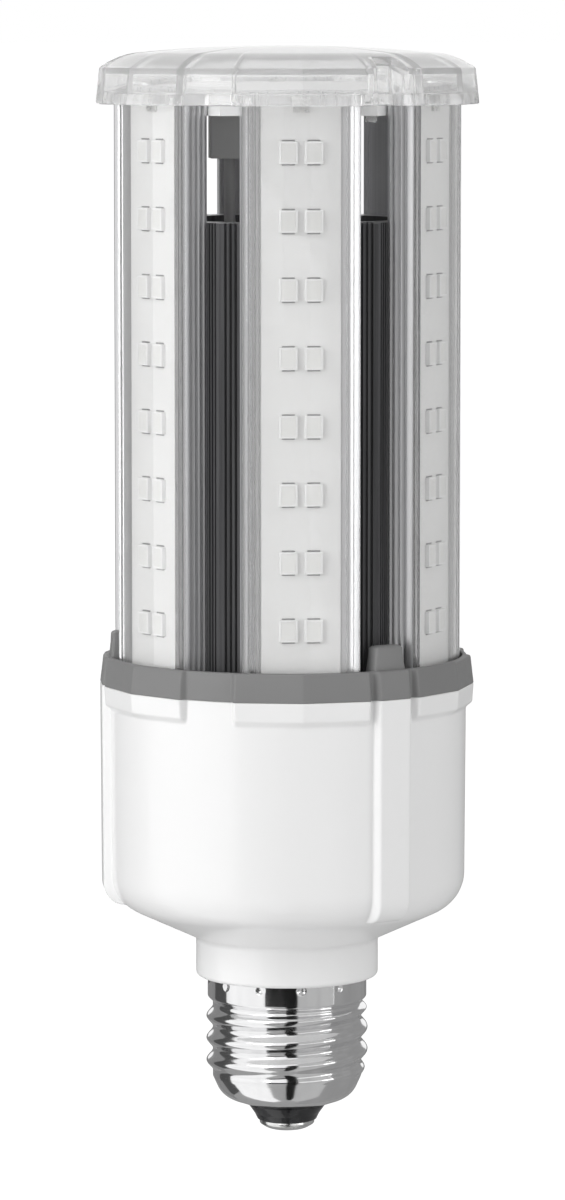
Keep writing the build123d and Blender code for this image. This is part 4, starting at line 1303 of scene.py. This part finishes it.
class LAMP_OT_studio(Operator):
    """Set the floor, the soft lights, the flags and the camera"""

    bl_idname = "lamp.studio"
    bl_label = "Studio"

    def execute(self, context):
        scene = context.scene
        studio = scene.lamp_studio
        scene.view_settings.view_transform = "Standard"
        self.world(scene, studio)
        self.floor(scene, studio)
        self.softbox(scene, "key_light", (-0.75, -0.55, 0.35), (0.7, 1.0), studio.key_power)
        self.softbox(scene, "fill_light", (0.8, -0.35, 0.25), (0.6, 0.9), studio.fill_power)
        for card in FLAGS:
            self.flag(scene, studio, *card)
        self.camera(scene, studio)
        return {"FINISHED"}

    def world(self, scene, studio):
        """White to the camera and in reflections, softer as light."""
        world = bpy.data.worlds.new("studio_world")
        scene.world = world
        world.use_nodes = True
        tree = world.node_tree
        background = tree.nodes["Background"]
        background.inputs["Color"].default_value = (1.0, 1.0, 1.0, 1.0)
        level = self.seen_level(tree, studio.world_strength, 1.0, 1.0, studio.through_strength)
        tree.links.new(level, background.inputs["Strength"])

    def seen_level(self, tree, plain, seen, mirrored, through):
        """Level for plain light, to the camera, in mirrors and through clear parts."""
        path = tree.nodes.new("ShaderNodeLightPath")
        level = None
        kinds = {
            "Is Camera Ray": seen,
            "Is Glossy Ray": mirrored,
            "Is Transmission Ray": through,
        }
        for kind, value in kinds.items():
            choice = tree.nodes.new("ShaderNodeMapRange")
            choice.inputs["To Min"].default_value = plain
            choice.inputs["To Max"].default_value = value
            tree.links.new(path.outputs[kind], choice.inputs["Value"])
            if level:
                tree.links.new(level, choice.inputs["To Min"])
            level = choice.outputs["Result"]
        return level

    def floor(self, scene, studio):
        """Wide pale floor that shows white and keeps the lamp's shadow."""
        half = 80.0
        height = -studio.floor_drop
        mesh = bpy.data.meshes.new("floor")
        corners = [(-half, -half, height), (half, -half, height)]
        corners += [(half, half, height), (-half, half, height)]
        mesh.from_pydata(corners, [], [(0, 1, 2, 3)])
        material, tree, shader = new_material("floor_paint")
        grain = spread(tree, stretched_noise(tree, 30.0), 0.0, 1.0)
        pale = tinted(tree, grain, (0.80, 0.80, 0.80), (0.82, 0.82, 0.82))
        path = tree.nodes.new("ShaderNodeLightPath")
        mirrored = tree.nodes.new("ShaderNodeMix")
        mirrored.data_type = "RGBA"
        mirrored.inputs["B"].default_value = (0.42, 0.42, 0.42, 1.0)
        tree.links.new(path.outputs["Is Glossy Ray"], mirrored.inputs["Factor"])
        tree.links.new(pale, mirrored.inputs["A"])
        tree.links.new(mirrored.outputs["Result"], shader.inputs["Base Color"])
        shader.inputs["Roughness"].default_value = 1.0
        shader.inputs["Specular IOR Level"].default_value = 0.0
        lift = self.seen_level(tree, 0.0, 0.62, 0.0, 0.35)
        shader.inputs["Emission Color"].default_value = (1.0, 1.0, 1.0, 1.0)
        tree.links.new(lift, shader.inputs["Emission Strength"])
        mesh.materials.append(material)
        floor = bpy.data.objects.new("floor", mesh)
        scene.collection.objects.link(floor)

    def softbox(self, scene, name, place, size, power):
        """Large area light aimed at the middle of the lamp."""
        data = bpy.data.lights.new(name, "AREA")
        data.shape = "RECTANGLE"
        data.size, data.size_y = size
        data.energy = power
        lamp = bpy.data.objects.new(name, data)
        middle = Vector((0.0, 0.0, CAP_TOP / 2))
        lamp.location = place
        lamp.rotation_euler = (middle - Vector(place)).to_track_quat("-Z", "Y").to_euler()
        scene.collection.objects.link(lamp)

    def flag(self, scene, studio, name, azimuth, width, grey, inner, top, start=None):
        """Curved card that only reflections show, with a strip along the floor unless raised."""
        radius = 0.8
        foot = 1 * MM - studio.floor_drop
        profile = [(inner, foot), (radius, foot), (radius, top)]
        if start is not None:
            profile = [(radius, start), (radius, top)]
        rows = len(profile)
        steps = max(4, int(width / 6))
        vertices = []
        for step in range(steps + 1):
            at = radians(azimuth - width / 2 + width * step / steps)
            for out, height in profile:
                vertices.append((sin(at) * out, -cos(at) * out, height))
        lowest = [rows * step + row for step in range(steps) for row in range(rows - 1)]
        faces = [(at, at + rows, at + rows + 1, at + 1) for at in lowest]
        mesh = bpy.data.meshes.new(name)
        mesh.from_pydata(vertices, [], faces)
        material, tree, shader = new_material(f"{name}_card")
        shader.inputs["Base Color"].default_value = (0.0, 0.0, 0.0, 1.0)
        shader.inputs["Specular IOR Level"].default_value = 0.0
        shader.inputs["Emission Color"].default_value = (1.0, 1.0, 1.0, 1.0)
        cloth = spread(tree, stretched_noise(tree, 3.0), grey * 0.9, grey * 1.1)
        tree.links.new(cloth, shader.inputs["Emission Strength"])
        mesh.materials.append(material)
        card = bpy.data.objects.new(name, mesh)
        card.visible_camera = False
        card.visible_diffuse = False
        card.visible_transmission = False
        card.visible_shadow = False
        scene.collection.objects.link(card)

    def camera(self, scene, studio):
        """Camera at the photograph's angle; the frame is 565 by 1200 pixels."""
        frame_width = 565.0
        frame_height = 1200.0
        data = bpy.data.cameras.new("camera")
        data.sensor_width = 36.0
        data.lens = studio.lens
        data.clip_start = 0.01
        data.clip_end = 200.0
        data.shift_x = (frame_width / 2 - studio.axis_pixel) / frame_height
        camera = bpy.data.objects.new("camera", data)
        at = radians(studio.azimuth)
        camera.location = (sin(at) * studio.distance, -cos(at) * studio.distance, studio.height)
        camera.rotation_euler = (radians(90.0 - studio.pitch), 0.0, at)
        scene.collection.objects.link(camera)
        scene.camera = camera


STEPS = (
    LAMP_OT_screw_shell,
    LAMP_OT_contact,
    LAMP_OT_housing,
    LAMP_OT_collar,
    LAMP_OT_core,
    LAMP_OT_channels,
    LAMP_OT_boards,
    LAMP_OT_covers,
    LAMP_OT_cap,
    LAMP_OT_inner_pieces,
    LAMP_OT_studio,
)


class LAMP_PT_sidebar(Panel):
    """Buttons for each piece of the lamp"""

    bl_idname = "LAMP_PT_sidebar"
    bl_label = "LED Retrofit Lamp"
    bl_space_type = "VIEW_3D"
    bl_region_type = "UI"
    bl_category = "Lamp"

    def draw(self, context):
        for step in STEPS:
            self.layout.operator(step.bl_idname)


SETTINGS = {
    "lamp_shell": LampShellSettings,
    "lamp_housing": LampHousingSettings,
    "lamp_collar": LampCollarSettings,
    "lamp_segment": LampSegmentSettings,
    "lamp_cap": LampCapSettings,
    "lamp_finish": LampFinishSettings,
    "lamp_studio": LampStudioSettings,
}


def register():
    """Register the settings, the operators and the panel."""
    for name, group in SETTINGS.items():
        bpy.utils.register_class(group)
        setattr(bpy.types.Scene, name, PointerProperty(type=group))
    for step in STEPS:
        bpy.utils.register_class(step)
    bpy.utils.register_class(LAMP_PT_sidebar)


def unregister():
    """Take everything out again."""
    bpy.utils.unregister_class(LAMP_PT_sidebar)
    for step in reversed(STEPS):
        bpy.utils.unregister_class(step)
    for name, group in SETTINGS.items():
        delattr(bpy.types.Scene, name)
        bpy.utils.unregister_class(group)


def main():
    """Build the lamp and its studio."""
    register()
    bpy.ops.lamp.screw_shell()
    bpy.ops.lamp.contact()
    bpy.ops.lamp.housing()
    bpy.ops.lamp.collar()
    bpy.ops.lamp.core()
    bpy.ops.lamp.channels()
    bpy.ops.lamp.boards()
    bpy.ops.lamp.covers()
    bpy.ops.lamp.cap()
    bpy.ops.lamp.inner_pieces()
    bpy.ops.lamp.studio()
    bpy.context.view_layer.update()


if __name__ == "__main__":
    main()
